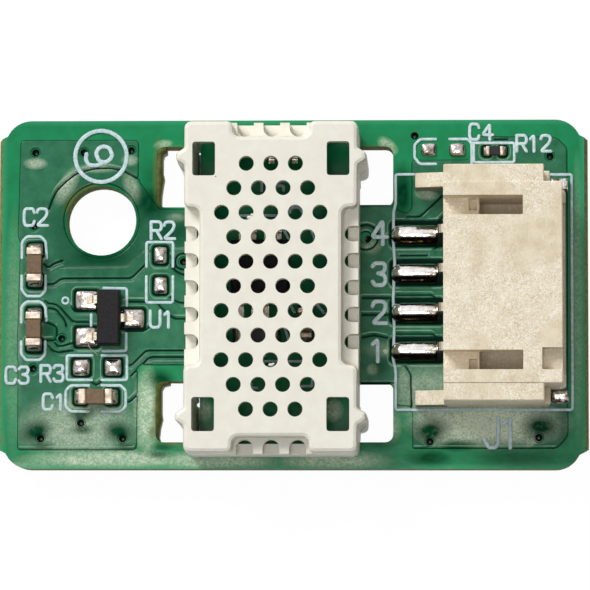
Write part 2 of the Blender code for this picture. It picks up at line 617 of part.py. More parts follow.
def build_tabs():
    flange_front = SIDE_BLOCK_LENGTH + FLANGE_REACH
    tab_front = HOUSING_LENGTH + LIP_REACH + TAB_REACH
    for side, hand in ((-1, "right"), (1, "left")):
        across = sorted((side * (HOUSING_HALF + SEAT), side * (SIDE_BLOCK_HALF - TAB_INSET)))
        tab = box(flange_front + SEAT, tab_front, *across, SEAT, TAB_HEIGHT)
        make(f"hold_down_tab_{hand}", round_edges(tab, TAB_ROUNDING, 3, rim_at(TAB_HEIGHT)), TINNED,
             (HOUSING_REAR, CONNECTOR_Y, BOARD_TOP))


# Chips: a body between two terminations, each drawn with the solder that climbs it
def build_chip(name, size, body_finish, x, y, turn=0.0, pad=0.3):
    length, width, height, cap = size
    half = length / 2
    reach = half - cap
    half_width = width / 2 - BODY_STEP
    place = (x, y, BOARD_TOP)
    body = box(STEP_BACK / 2 - reach, reach - STEP_BACK / 2, -half_width, half_width,
               SEAT + BODY_STEP, height - BODY_STEP)
    make(f"{name}_body", body, body_finish, place, turn)
    for end, letter in ((-1, "a"), (1, "b")):
        profile = [(reach, SEAT, 0), (half + pad, SEAT, 0), (half + pad, SEAT + SOLDER_TOE, 0),
                   (half, height * CLIMB_SHARE, 0.05), (half, height, 0.07), (reach, height, 0)]
        hand = [(end * px, pz, r) for px, pz, r in profile]
        make(f"{name}_end_{letter}", side_profile(hand, width), SOLDER, place, turn)


# Leaded packages: a body with drafted sides and gull-wing leads
def package_body(length, width, bottom, top, draft):
    """Body mesh whose upper and lower halves narrow away from the lead plane."""
    shape = box(-length / 2, length / 2, -width / 2, width / 2, bottom, top)
    middle = (bottom + top) / 2
    bmesh.ops.bisect_plane(shape, geom=shape.verts[:] + shape.edges[:] + shape.faces[:],
                           plane_co=(0, 0, middle), plane_no=(0, 0, 1))
    for vert in shape.verts:
        if abs(vert.co.z - middle) > 0.01:
            vert.co.x -= math.copysign(draft, vert.co.x)
            vert.co.y -= math.copysign(draft, vert.co.y)
    return round_edges(shape, PACKAGE_EDGE, 1)


def gull_wing(start, reach, exit_height, sole):
    """Side profile of a lead that leaves at +X, steps down and lies flat on its pad."""
    thickness = GULL_THICKNESS
    knee = start + reach * GULL_KNEE
    toe = start + reach
    lean = thickness * 0.4   # how far the step slopes outwards on its way down
    return [(start, exit_height, 0), (start, exit_height - thickness, 0),
            (knee - thickness, exit_height - thickness, 0), (knee - thickness + lean, sole, thickness),
            (toe, sole, 0), (toe, sole + thickness, 0), (knee + lean, sole + thickness, 0),
            (knee, exit_height, thickness)]


def build_transistor():
    x, y = TRANSISTOR_PLACE
    length = TRANSISTOR_BODY[0]
    make("transistor_body", package_body(*TRANSISTOR_BODY), EPOXY, (x, y, BOARD_TOP))
    start = length / 2 + SEAT / 2
    lead = gull_wing(start, TRANSISTOR_LEAD_REACH, TRANSISTOR_LEAD_EXIT, PAD_HEIGHT + SEAT)
    half = TRANSISTOR_PAD_WIDTH / 2
    for letter, (side, offset) in TRANSISTOR_LEADS.items():
        place = (x, y + offset, BOARD_TOP)
        hand = [(side * px, pz, r) for px, pz, r in lead]
        make(f"transistor_lead_{letter}", side_profile(hand, TRANSISTOR_LEAD_WIDTH), TINNED, place)
        under = length / 2 - PAD_OVERLAP
        xs = sorted((side * under, side * (under + TRANSISTOR_PAD_LENGTH)))
        pad = box(*xs, -half, half, SEAT, PAD_HEIGHT)
        make(f"transistor_pad_{letter}", round_edges(pad, PAD_ROUNDING, 2, rim_at(PAD_HEIGHT)), SOLDER, place)


def build_signal_chip():
    """Eight-lead signal chip under the cap, with leads on its two sides along y."""
    x, y = CHIP_PLACE
    make("signal_chip_body", package_body(*CHIP_BODY), EPOXY, (x, y, BOARD_TOP))
    lead = gull_wing(CHIP_BODY[1] / 2 + SEAT / 2, CHIP_LEAD_REACH, CHIP_LEAD_EXIT, SEAT)
    number = 1
    for side in (-1, 1):
        for index in range(4):
            lead_x = x + (index - 1.5) * CHIP_LEAD_PITCH
            make(f"signal_chip_lead_{number}", side_profile(lead, CHIP_LEAD_WIDTH), TINNED,
                 (lead_x, y, BOARD_TOP), side * QUARTER_TURN)
            number += 1


# Humidity element: an upright ceramic plate with its film and two leads
def build_element():
    back = CAP_LENGTH / 2 - CAP_WALL - PLATE_GAP
    face = back - PLATE_THICKNESS
    half = PLATE_LENGTH / 2
    place = (ELEMENT_X, face, BOARD_TOP)
    make("humidity_plate", box(-half, half, 0, PLATE_THICKNESS, SEAT, PLATE_HEIGHT), ALUMINA, place)
    film = box(FILM_MARGIN - half, half - FILM_MARGIN, -FILM_THICKNESS - SEAT / 2, -SEAT / 2,
               FILM_BOTTOM, PLATE_HEIGHT - FILM_MARGIN / 2)
    make("humidity_film", film, SENSING_FILM, place)
    toe, top = ELEMENT_LEAD_REACH, SEAT + ELEMENT_LEAD_THICKNESS
    profile = [(0, SEAT, 0), (toe, SEAT, 0.14), (toe, top, 0.04), (ELEMENT_LEAD_THICKNESS, top, 0.06),
               (ELEMENT_LEAD_THICKNESS, ELEMENT_LEAD_HEIGHT, 0.05), (0, ELEMENT_LEAD_HEIGHT, 0)]
    for side, letter in ((-1, "a"), (1, "b")):
        make(f"humidity_lead_{letter}", side_profile(profile, ELEMENT_LEAD_WIDTH), TINNED,
             (ELEMENT_X + side * ELEMENT_LEAD_SPACING / 2, face - SEAT, BOARD_TOP), -QUARTER_TURN)


# Empty footprints: rounded solder bumps left where no part is fitted
def build_bumps():
    for number, (x, y, length, width) in enumerate(BUMPS, 1):
        bump = box(-length / 2, length / 2, -width / 2, width / 2, SEAT, SEAT + BUMP_HEIGHT)
        made = round_edges(bump, BUMP_ROUNDING, 3, rim_at(SEAT + BUMP_HEIGHT))
        make(f"solder_bump_{number}", made, SOLDER, (x, y, BOARD_TOP))


build_board()
build_cap()
build_housing()
build_contacts()
build_tabs()
build_chip("capacitor_1", CHIP_0603, CERAMIC, LEFT + 4.93, FRONT + 3.69, 0.0, 0.36)
build_chip("capacitor_2", CHIP_0603, CERAMIC, LEFT + 1.71, FRONT + 7.17, QUARTER_TURN, 0.36)
build_chip("capacitor_3", CHIP_0603, CERAMIC, LEFT + 1.73, BACK - 7.51, QUARTER_TURN, 0.36)
build_chip("resistor_1", CHIP_0402, RESISTOR_BLACK, RIGHT - 4.59, BACK - 1.64, 0.0, 0.12)
build_chip("resistor_2", CHIP_0805, RESISTOR_BLACK, CAP_CENTRE_X - 0.90, -2.15, 0.0, 0.25)
build_chip("capacitor_4", CHIP_0603, CERAMIC, CAP_CENTRE_X + 1.59, -1.55, QUARTER_TURN, 0.2)
build_transistor()
build_signal_chip()
build_element()
build_bumps()
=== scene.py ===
"""Looks of a humidity sensor module: a green circuit board carrying a vented snap-fit cap, a beige
side-entry connector and a few small soldered parts, lit softly and seen from above.

Sizes are in millimetres until a piece is made; the frame and every finished mesh are in metres.
"""
import math

import bmesh
import bpy
import numpy
from mathutils import Matrix, Vector, noise


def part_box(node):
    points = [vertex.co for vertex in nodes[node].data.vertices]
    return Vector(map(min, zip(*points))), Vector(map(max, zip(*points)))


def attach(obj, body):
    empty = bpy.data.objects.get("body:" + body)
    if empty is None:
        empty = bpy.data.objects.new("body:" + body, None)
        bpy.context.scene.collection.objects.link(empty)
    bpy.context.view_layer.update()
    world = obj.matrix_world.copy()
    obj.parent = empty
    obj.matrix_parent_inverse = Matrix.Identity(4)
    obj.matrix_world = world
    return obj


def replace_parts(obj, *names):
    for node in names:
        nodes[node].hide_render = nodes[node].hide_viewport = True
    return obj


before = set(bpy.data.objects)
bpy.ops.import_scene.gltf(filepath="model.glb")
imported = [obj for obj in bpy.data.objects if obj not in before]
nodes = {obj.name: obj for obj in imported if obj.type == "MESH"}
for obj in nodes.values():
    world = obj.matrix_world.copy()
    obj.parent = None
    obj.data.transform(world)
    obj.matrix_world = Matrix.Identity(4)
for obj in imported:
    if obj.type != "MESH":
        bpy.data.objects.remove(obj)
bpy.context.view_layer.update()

scene = bpy.context.scene
MM = 0.001


# The camera looks almost straight down from the connector's side of the middle, a long way off,
# so that the parts show a little of the sides that face away from it.
CAMERA_PLACE = (8.467, -18.862, 210.37)
CAMERA_TURN = (0.0903, 0.0399, 0.0021)
CAMERA_LENS = 247.75          # for a sensor 36 mm wide
camera_data = bpy.data.cameras.new("camera")
camera_data.sensor_width = 36.0
camera_data.lens = CAMERA_LENS
camera_data.clip_start = 0.01
camera_data.clip_end = 10.0
camera = bpy.data.objects.new("camera", camera_data)
camera.location = Vector(CAMERA_PLACE) * MM
camera.rotation_euler = CAMERA_TURN
scene.collection.objects.link(camera)
scene.camera = camera


# A plain white floor under the snap hooks. What the camera and shiny surfaces see of it is bright
# white, and only a faint shadow of the module stays on it.
scene.view_settings.view_transform = "Standard"
FLOOR_SIZE = 3000.0
FLOOR_GLOW = 0.965            # brightness of the floor before any lamp reaches it
FLOOR_SHADE = 0.06            # share of the lamps' light that it adds


def colour(red, green, blue):
    """Linear colour from 8-bit display values."""
    linear = [((value / 255 + 0.055) / 1.055) ** 2.4 for value in (red, green, blue)]
    return (*linear, 1.0)


def add_node(tree, kind, values=None, **settings):
    """New node with its settings; values fill its inputs by name or number, and a socket is linked."""
    node = tree.nodes.new(kind)
    for key, value in settings.items():
        setattr(node, key, value)
    for key, value in (values or {}).items():
        if isinstance(value, bpy.types.NodeSocket):
            tree.links.new(value, node.inputs[key])
        else:
            node.inputs[key].default_value = value
    return node


def math_node(tree, operation, first, second=0.0):
    """Value socket of a sum between two values or sockets."""
    return add_node(tree, "ShaderNodeMath", {0: first, 1: second}, operation=operation).outputs[0]


def background_rays(tree):
    """Socket that is one for what the camera, a gloss or clear plastic sees, and zero for light."""
    rays = add_node(tree, "ShaderNodeLightPath").outputs
    seen = math_node(tree, "MAXIMUM", rays["Is Camera Ray"], rays["Is Glossy Ray"])
    return math_node(tree, "MAXIMUM", seen, rays["Is Transmission Ray"])


def plain_mesh(name, shape):
    """Mesh in metres from a bmesh in millimetres, which is used up."""
    bmesh.ops.scale(shape, vec=(MM, MM, MM), verts=shape.verts)
    mesh = bpy.data.meshes.new(name)
    shape.to_mesh(mesh)
    shape.free()
    return mesh


floor_finish = bpy.data.materials.new("white_floor")
floor_finish.use_nodes = True
tree = floor_finish.node_tree
tree.nodes.clear()
glow = add_node(tree, "ShaderNodeEmission", {"Color": colour(255, 255, 255), "Strength": FLOOR_GLOW})
lit = add_node(tree, "ShaderNodeBsdfDiffuse", {"Color": (FLOOR_SHADE, FLOOR_SHADE, FLOOR_SHADE, 1.0)})
seen_floor = add_node(tree, "ShaderNodeAddShader", {0: glow.outputs[0], 1: lit.outputs[0]})
lit_floor = add_node(tree, "ShaderNodeBsdfDiffuse", {"Color": colour(225, 225, 222)})
floor_mix = add_node(tree, "ShaderNodeMixShader",
                     {0: background_rays(tree), 1: lit_floor.outputs[0], 2: seen_floor.outputs[0]})
add_node(tree, "ShaderNodeOutputMaterial", {"Surface": floor_mix.outputs[0]})

shape = bmesh.new()
bmesh.ops.create_grid(shape, x_segments=1, y_segments=1, size=FLOOR_SIZE / 2)
floor = bpy.data.objects.new("floor", plain_mesh("floor", shape))
floor.data.materials.append(floor_finish)
scene.collection.objects.link(floor)


# Soft studio light: a large lamp at the upper left, a second one nearly over the board that draws a
# sheen on its front half, and a pale sky that is brightest up and to the back left.
SKY_LIGHT = 0.44              # strength of the sky's light on the object
SKY_BRIGHT, SKY_DARK = colour(255, 255, 255), colour(60, 58, 52)
SKY_LEAN = (-0.3, 0.6, 0.74)
SKY_START, SKY_FULL = 0.16, 0.72
LAMPS = {
    "upper_left": {"place": (-150, 190, 260), "size": 130, "power": 0.84},
    "overhead": {"place": (-12, -52, 300), "size": 84, "power": 0.2},
}


def mixed(tree, factor, first, second, blend="MIX"):
    """Colour socket of a mix of two colours."""
    node = tree.nodes.new("ShaderNodeMix")
    node.data_type = "RGBA"
    node.blend_type = blend
    sockets = {socket.identifier: socket for socket in node.inputs}
    for key, value in (("Factor_Float", factor), ("A_Color", first), ("B_Color", second)):
        if isinstance(value, bpy.types.NodeSocket):
            tree.links.new(value, sockets[key])
        else:
            sockets[key].default_value = value
    return next(socket for socket in node.outputs if socket.identifier == "Result_Color")


def ranged(tree, value, low, high, start=0.0, end=1.0):
    """Value socket that runs from start to end while another runs from low to high."""
    return add_node(tree, "ShaderNodeMapRange", {"Value": value, "From Min": low, "From Max": high,
                                                 "To Min": start, "To Max": end}).outputs[0]


world = bpy.data.worlds.new("studio")
scene.world = world
world.use_nodes = True
tree = world.node_tree
tree.nodes.clear()
direction = add_node(tree, "ShaderNodeTexCoord")
lean = add_node(tree, "ShaderNodeVectorMath", {0: direction.outputs["Generated"], 1: SKY_LEAN},
                operation="DOT_PRODUCT")
sky = mixed(tree, ranged(tree, lean.outputs["Value"], SKY_START, SKY_FULL), SKY_DARK, SKY_BRIGHT)
light = add_node(tree, "ShaderNodeBackground", {"Color": sky, "Strength": SKY_LIGHT})
seen_sky = add_node(tree, "ShaderNodeBackground", {"Color": sky, "Strength": 1.0})
white_sky = add_node(tree, "ShaderNodeBackground", {"Color": colour(255, 255, 255), "Strength": 1.0})
rays = add_node(tree, "ShaderNodeLightPath")
shiny = add_node(tree, "ShaderNodeMixShader",
                 {0: background_rays(tree), 1: light.outputs[0], 2: seen_sky.outputs[0]})
sky_mix = add_node(tree, "ShaderNodeMixShader",
                   {0: rays.outputs["Is Camera Ray"], 1: shiny.outputs[0], 2: white_sky.outputs[0]})
add_node(tree, "ShaderNodeOutputWorld", {"Surface": sky_mix.outputs[0]})
for name, lamp in LAMPS.items():
    data = bpy.data.lights.new(name, "AREA")
    data.shape = "SQUARE"
    data.size = lamp["size"] * MM
    data.energy = lamp["power"]
    made = bpy.data.objects.new(name, data)
    made.location = Vector(lamp["place"]) * MM
    made.rotation_euler = made.location.to_track_quat("Z", "Y").to_euler()
    scene.collection.objects.link(made)


# The circuit board is glass-filled epoxy laminate under a green solder mask. Its two long edges and
# the slots are routed and its two ends are broken off, so bare olive laminate shows on its sides.
# Handling and flux left dark stains on the mask. The pale patches on it are painted sheen, some dark patches
# are painted shade (under the cap, by the connector's wing and below the pins), and a lighter band along the
# board's edges is a painted highlight.
BOARD_BOTTOM, BOARD_TOP = (corner.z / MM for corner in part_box("circuit_board"))
BOARD_HALF_LENGTH, BOARD_HALF_WIDTH = 15.0, 9.0
MASK_GREEN, MASK_GREEN_DEEP = colour(18, 140, 88), colour(6, 117, 68)
# Painted highlight: a lighter green along the board's edges.
MASK_EDGE_HIGHLIGHT = colour(50, 152, 106)
LAMINATE, LAMINATE_DARK = colour(132, 142, 70), colour(78, 90, 38)
PAINTED_SHEEN, STAIN_AND_SHADE = colour(214, 226, 200), colour(0, 62, 36)
OLIVE = (96, 104, 46)
MASK_ROUGHNESS, MASK_SHINE, STAIN_AND_SHADE_SHINE = 0.17, 0.2, 0.01
SAWN_ROUGHNESS = 0.75
MASK_WAVES = (2.2, 0.009, 4.0)   # how many a millimetre, how deep, how fine
PER_METRE = 1 / MM            # noise scales are written in features per millimetre
PICTURE_SCALE = 19.4          # pixels of the 590-pixel view per millimetre on the board
PICTURE_MIDDLE = (293.0, 294.6)
# Soft ovals in the view's pixels: middle across and down, half width and height, strength, and for
# some of them a turn in degrees.
# Pale ovals, painted sheen: they stand for the lamps' reflection on the mask.
PAINTED_SHEEN_PATCHES = [
    (67, 186, 9, 22, 0.75, -28), (132, 188, 8, 18, 0.6, 22), (35, 163, 12, 6, 0.7), (130, 160, 9, 6, 0.5),
    (163, 144, 10, 5, 0.6, 10), (176, 218, 10, 5, 0.45), (98, 168, 22, 5, 0.5), (388, 146, 12, 7, 0.7, -40),
    (427, 195, 12, 6, 0.8, -8), (372, 247, 10, 9, 0.45), (110, 460, 90, 11, 0.8), (215, 462, 66, 12, 0.8),
    (335, 462, 56, 12, 0.85), (488, 424, 80, 24, 1.45), (440, 425, 30, 22, 1.35), (388, 425, 14, 20, 0.6),
    (148, 412, 14, 46, 0.85), (530, 441, 9, 6, 0.9, 30), (80, 428, 64, 34, 0.6), (430, 395, 40, 30, 0.5),
    (420, 350, 60, 10, 0.4), (373, 370, 6, 6, 0.7), (386, 352, 3.5, 4, 1.0), (334, 411, 10, 12, 1.0),
    (206, 411, 7, 13, 0.7), (404, 384, 7, 20, 0.45), (14, 330, 10, 120, 0.22), (577, 300, 7, 140, 0.36),
    (30, 467, 40, 6, 0.4),
]
# Dark ovals: flux stains, and painted shade under the cap, beside and under the connector's wing and below
# the pins.
STAIN_AND_SHADE_PATCHES = [
    (101, 257, 50, 17, 0.9), (163, 381, 17, 12, 0.95, -20), (164, 447, 13, 5, 0.7), (380, 441, 20, 11, 0.6),
    (430, 432, 23, 17, 1.0), (540, 427, 23, 15, 1.0), (431, 458, 27, 10, 0.9), (456, 446, 27, 7, 0.9),
    (51, 331, 7, 10, 0.6), (403, 194, 12, 32, 1.0), (380, 368, 14, 14, 0.6), (425, 188, 6, 4, 0.9),
    (515, 458, 66, 10, 0.5), (562, 425, 9, 26, 0.5), (300, 300, 100, 150, 0.35), (38, 432, 19, 13, 1.0, 20),
    (82, 415, 15, 9, 0.9), (120, 432, 18, 13, 1.0, -15), (84, 430, 13, 6, 0.8), (44, 446, 14, 6, 0.7),
    (126, 446, 12, 6, 0.7), (101.6, 225, 60, 58, 0.85), (152, 203, 26, 24, 1.0), (170, 232, 34, 20, 0.8),
    (152, 190, 20, 46, 0.45), (160, 455, 14, 5, 0.7), (420, 232, 26, 3, 0.5), (420, 290, 26, 3, 0.4),
]
OLIVE_PATCHES = [
    (158, 172, 6, 36, 1.0), (174, 149, 18, 5, 1.0), (158, 414, 6, 34, 1.0), (154, 432, 6, 9, 0.9),
    (174, 384, 16, 3, 0.9), (174, 443, 14, 4, 0.8), (380, 148, 18, 4, 0.7), (380, 391.5, 18, 4, 0.7),
    (72, 200, 5, 18, 0.9, -34), (86, 189, 5, 16, 0.8, -62), (2, 140, 4, 6, 1.0), (3, 440, 4, 8, 1.0),
    (587, 150, 4, 8, 1.0), (586, 440, 4, 8, 1.0),
]
PATCH_RIM = 1.1               # share of an oval's size at which its patch has faded out
SHEEN_CORE, DARK_CORE, OLIVE_CORE = 0.45, 0.3, 0.25   # and at which it's full
OLIVE_STRENGTH = 0.8


def new_group(name, inputs, outputs):
    """Empty shader node group with its sockets; returns it with its input and output nodes."""
    group = bpy.data.node_groups.new(name, "ShaderNodeTree")
    for label, kind in inputs.items():
        group.interface.new_socket(name=label, in_out="INPUT", socket_type=kind)
    for label, kind in outputs.items():
        group.interface.new_socket(name=label, in_out="OUTPUT", socket_type=kind)
    return group, group.nodes.new("NodeGroupInput"), group.nodes.new("NodeGroupOutput")


def spot(across, down):
    """Place on the board, in millimetres, from where it lies in the 590-pixel view."""
    return Vector(((across - PICTURE_MIDDLE[0]) / PICTURE_SCALE, (PICTURE_MIDDLE[1] - down) / PICTURE_SCALE))


def patches(tree, place, rows, broken, core):
    """Value socket that is high inside soft oval patches, each broken up by a noise."""
    total = 0.0
    for across, down, half_width, half_height, strength, *turn in rows:
        middle = spot(across, down) * MM
        size = (half_width / PICTURE_SCALE * MM, half_height / PICTURE_SCALE * MM, 1.0)
        local = add_node(tree, "ShaderNodeMapping",
                         {"Vector": place, "Location": (*middle, 0.0), "Scale": size,
                          "Rotation": (0, 0, math.radians(sum(turn)))}, vector_type="TEXTURE")
        reach = add_node(tree, "ShaderNodeVectorMath", {0: local.outputs[0]}, operation="LENGTH")
        inside = ranged(tree, reach.outputs["Value"], PATCH_RIM, core, 0.0, strength)
        total = math_node(tree, "MAXIMUM", inside, total)
    return math_node(tree, "MULTIPLY", total, broken)


def clouds(tree, place, per_mm, detail, roughness=0.5, distortion=0.0):
    """Outputs of a noise with so many features per millimetre."""
    values = {"Vector": place, "Scale": per_mm * PER_METRE, "Detail": detail, "Roughness": roughness,
              "Distortion": distortion}
    return add_node(tree, "ShaderNodeTexNoise", values).outputs


def object_place(tree):
    """Socket of the place on the object, in metres."""
    return add_node(tree, "ShaderNodeTexCoord").outputs["Object"]


COLOUR, NUMBER = "NodeSocketColor", "NodeSocketFloat"
mottled, group_in, group_out = new_group(
    "mottled", {"First": COLOUR, "Second": COLOUR, "Scale": NUMBER, "Contrast": NUMBER}, {"Color": COLOUR})
grain = add_node(mottled, "ShaderNodeTexNoise",
                 {"Vector": object_place(mottled), "Scale": group_in.outputs["Scale"], "Detail": 3.0,
                  "Roughness": 0.6})
swing = math_node(mottled, "SUBTRACT", grain.outputs[0], 0.5)
swing = math_node(mottled, "MULTIPLY", swing, group_in.outputs["Contrast"])
swing = add_node(mottled, "ShaderNodeMath", {0: swing, 1: 0.5}, operation="ADD", use_clamp=True).outputs[0]
mottled.links.new(mixed(mottled, swing, group_in.outputs["First"], group_in.outputs["Second"]),
                  group_out.inputs["Color"])

grained, group_in, group_out = new_group("grained", {"Scale": NUMBER, "Detail": NUMBER}, {"Height": NUMBER})
grain = add_node(grained, "ShaderNodeTexNoise",
                 {"Vector": object_place(grained), "Scale": group_in.outputs["Scale"],
                  "Detail": group_in.outputs["Detail"], "Roughness": 0.55})
grained.links.new(grain.outputs[0], group_out.inputs["Height"])

stains_and_painted_light, group_in, group_out = new_group("stains_and_painted_light", {"Color": COLOUR}, {"Color": COLOUR, "StainAndShade": NUMBER})
place = object_place(stains_and_painted_light)
cloud = clouds(stains_and_painted_light, place, 2.6, 5.0, 0.65)[0]
fine_cloud = clouds(stains_and_painted_light, place, 9.0, 4.0, 0.75)[0]
broken = math_node(stains_and_painted_light, "MULTIPLY", ranged(stains_and_painted_light, cloud, 0.36, 0.58, 0.7, 1.0),
                   ranged(stains_and_painted_light, fine_cloud, 0.4, 0.58, 0.45, 1.0))
# Painted sheen over the mask's colour.
painted_sheen = patches(stains_and_painted_light, place, PAINTED_SHEEN_PATCHES, broken, SHEEN_CORE)
weather_mix = mixed(stains_and_painted_light, painted_sheen, group_in.outputs["Color"], PAINTED_SHEEN)
# Flux stains together with painted shade.
stained_and_shaded = patches(stains_and_painted_light, place, STAIN_AND_SHADE_PATCHES, ranged(stains_and_painted_light, cloud, 0.3, 0.5, 0.8, 1.0), DARK_CORE)
weather_mix = mixed(stains_and_painted_light, stained_and_shaded, weather_mix, STAIN_AND_SHADE)
stains_and_painted_light.links.new(stained_and_shaded, group_out.inputs["StainAndShade"])
bared = patches(stains_and_painted_light, place, OLIVE_PATCHES, OLIVE_STRENGTH, OLIVE_CORE)
stains_and_painted_light.links.new(mixed(stains_and_painted_light, bared, weather_mix, colour(*OLIVE)), group_out.inputs["Color"])


def new_material(name, roughness, metallic=0.0, shine=0.5):
    """Principled material; returns it with its node tree and shader."""
    made = bpy.data.materials.new(name)
    made.use_nodes = True
    shader = made.node_tree.nodes["Principled BSDF"]
    shader.inputs["Roughness"].default_value = roughness
    shader.inputs["Metallic"].default_value = metallic
    shader.inputs["Specular IOR Level"].default_value = shine
    return made, made.node_tree, shader


def mottle(tree, first, second, per_mm, contrast):
    """Colour that swings between two colours over so many features per millimetre."""
    values = {"First": first, "Second": second, "Scale": per_mm * PER_METRE, "Contrast": contrast}
    return add_node(tree, "ShaderNodeGroup", values, node_tree=mottled).outputs["Color"]


def with_stains_and_painted_light(tree, green):
    """Mask colour with its painted sheen, its stains and painted shade, and the mask's shine, which the
    stains and painted shade take away.
    """
    node = add_node(tree, "ShaderNodeGroup", {"Color": green}, node_tree=stains_and_painted_light)
    return node.outputs["Color"], ranged(tree, node.outputs["StainAndShade"], 0.0, 1.0, MASK_SHINE, STAIN_AND_SHADE_SHINE)


def feed(shader, name, socket):
    """Links a socket to an input of the shader."""
    shader.id_data.links.new(socket, shader.inputs[name])


def roughen(tree, shader, per_mm, depth, detail=2.0):
    """Gives a surface a fine grain, so many features per millimetre and so many millimetres deep."""
    values = {"Scale": per_mm * PER_METRE, "Detail": detail}
    height = add_node(tree, "ShaderNodeGroup", values, node_tree=grained).outputs["Height"]
    bump = add_node(tree, "ShaderNodeBump", {"Height": height, "Strength": 1.0, "Distance": depth * MM})
    feed(shader, "Normal", bump.outputs["Normal"])


def put_on(names, finish):
    """Gives these nodes a finish in place of their plain one."""
    for name in names:
        for slot in nodes[name].material_slots:
            slot.material = finish


board_finish, tree, shader = new_material("green_mask_on_laminate", MASK_ROUGHNESS, shine=MASK_SHINE)
place = add_node(tree, "ShaderNodeTexCoord").outputs
split = add_node(tree, "ShaderNodeSeparateXYZ", {0: place["Object"]}).outputs
facing = add_node(tree, "ShaderNodeSeparateXYZ", {0: place["Normal"]}).outputs
wall = ranged(tree, math_node(tree, "ABSOLUTE", facing["Z"]), 0.5, 0.6, 1.0, 0.0)
from_end = math_node(tree, "SUBTRACT", BOARD_HALF_LENGTH * MM, math_node(tree, "ABSOLUTE", split["X"]))
from_side = math_node(tree, "SUBTRACT", BOARD_HALF_WIDTH * MM, math_node(tree, "ABSOLUTE", split["Y"]))
# Painted highlight along the board's edges.
edge = ranged(tree, math_node(tree, "MINIMUM", from_end, from_side), 0.04 * MM, 0.3 * MM, 0.7, 0.0)
green, shine = with_stains_and_painted_light(tree, mottle(tree, MASK_GREEN, MASK_GREEN_DEEP, 1.2, 1.5))
feed(shader, "Specular IOR Level", shine)
green = mixed(tree, edge, green, MASK_EDGE_HIGHLIGHT)
brown = mottle(tree, LAMINATE, LAMINATE_DARK, 5.0, 3.0)
feed(shader, "Base Color", mixed(tree, wall, green, brown))
feed(shader, "Roughness", ranged(tree, wall, 0.0, 1.0, MASK_ROUGHNESS, SAWN_ROUGHNESS))
roughen(tree, shader, *MASK_WAVES)
put_on(["circuit_board"], board_finish)


# The copper foil lies under the mask as pours and traces a few hundredths thick, etched apart by
# narrow gaps and kept back from the pads. Each side is one fine sheet of mask laid over its foil,
# whose rim dives into the board's top.
SHEET_STEP = 0.042
SHEET_BOXES = {"left": ((16, 135), (213, 455)), "right": ((348, 132), (571, 453))}
FOIL_HEIGHT, FLOOR_HEIGHT, SUNK_HEIGHT = 0.062, 0.006, -0.025
GAP_DEPTH, SHOULDER_DEPTH, STEP_DEPTH, LIP_HEIGHT = 0.056, 0.014, 0.02, 0.018
# A gap, its shoulder and a soft step are this far from their line at their foot and at their brink.
GAP_EDGE, SHOULDER_EDGE, STEP_EDGE, LIP_EDGE = (0.018, 0.066), (0.05, 0.22), (0.01, 0.13), (0.0, 0.1)
GAP_SHIFT, LIP_SHIFT, FAR_SHIFT = (-0.7, -1.5), (-1.2, -3.6), (1.0, 3.2)   # off a trace's middle, in pixels
MOAT_REACH, PIN_MOAT_REACH, MOAT_EDGE = 0.07, 0.17, (-0.02, 0.06)
MOAT_LIP, MOAT_LIP_WIDTH = 0.12, 0.06
VIA_RADIUS, VIA_RING, VIA_RING_HEIGHT = 0.21, 0.07, 0.03
VIA_DIP, VIA_DIP_EDGE = 0.006, (0.1, 0.4)
RIM_EDGE, PLUG_OVERLAP = (-0.04, 0.1), 0.02
OUTLINE_ROUNDING, LINE_ROUNDING, PAD_ROUNDING = 0.25, 0.2, 0.12
FAR_OFF = 100.0               # more than any distance on the board
MOUNT_HOLE, MOUNT_CLEAR = spot(101.6, 220.7), 1.92
COPPER_GREEN, COPPER_GREEN_DULL = colour(52, 122, 88), colour(26, 94, 64)
# Painted shade darkens the gaps and moats, and a painted highlight pales the raised lips.
GAP_SHADE_GREEN, LIP_HIGHLIGHT_GREEN = colour(3, 34, 25), colour(150, 190, 158)
SUNK_LEVEL, BRINK_LEVEL, GAP_SHINE = 0.01, FOIL_HEIGHT * 0.72, 0.1
LIP_START, LIP_HIGHLIGHT_SHARE = 0.007, 0.6
COPPER_OUTLINES = {
    "left": [(19.5, 139), (136, 139), (139, 142), (139, 180), (157, 205), (160, 209), (210, 209), (210, 366),
             (139, 366), (139, 449), (136, 451.5), (21, 451.5), (18.5, 448), (18.5, 363), (17.5, 357),
             (17.5, 345), (20, 242), (17.5, 237)],
    "right": [(345, 206), (397, 206), (399, 211), (408, 213), (411.6, 209), (411.6, 160), (470, 160),
              (478, 136.5), (556, 137), (567.5, 148), (567.5, 437), (556, 449.8), (413, 449.8), (411.6, 448),
              (411.6, 407), (396.5, 407), (396.5, 384), (345, 384)],
}
GAPS = [
    [(49, 209), (52, 200), (57, 190), (66, 181), (77, 172.7), (93, 168.5), (110, 167.5), (124.4, 171.1),
     (139.1, 179.4), (139.1, 153)],
    [(127, 302), (146, 302.3)], [(127, 332), (145, 332), (150, 328)],
    [(159, 305), (168, 314), (175, 319.5), (190, 319.5)], [(72, 307), (75, 312), (95, 311), (98, 314)],
    [(92, 382), (97.5, 386), (103, 382)], [(128, 402), (131, 402.5), (142, 392)],
    [(45, 322), (57.5, 327), (57.5, 341), (45, 341)], [(495, 140), (508, 139.5)],
    [(438, 223), (446, 215)], [(386, 238), (394, 238)],
    [(363, 299), (392, 299)], [(397, 296), (433, 296), (438, 301)], [(363, 316), (392, 316)],
    [(397, 335), (434, 335), (438, 340)], [(363, 338.5), (375, 336), (388, 339)], [(430, 286), (443.5, 280)],
    [(411.6, 412), (411.6, 448), (414, 450), (556, 450)], [(139, 408), (139, 448), (136, 451), (22, 451)],
    [(405, 366), (411, 375), (411.6, 407)],
]
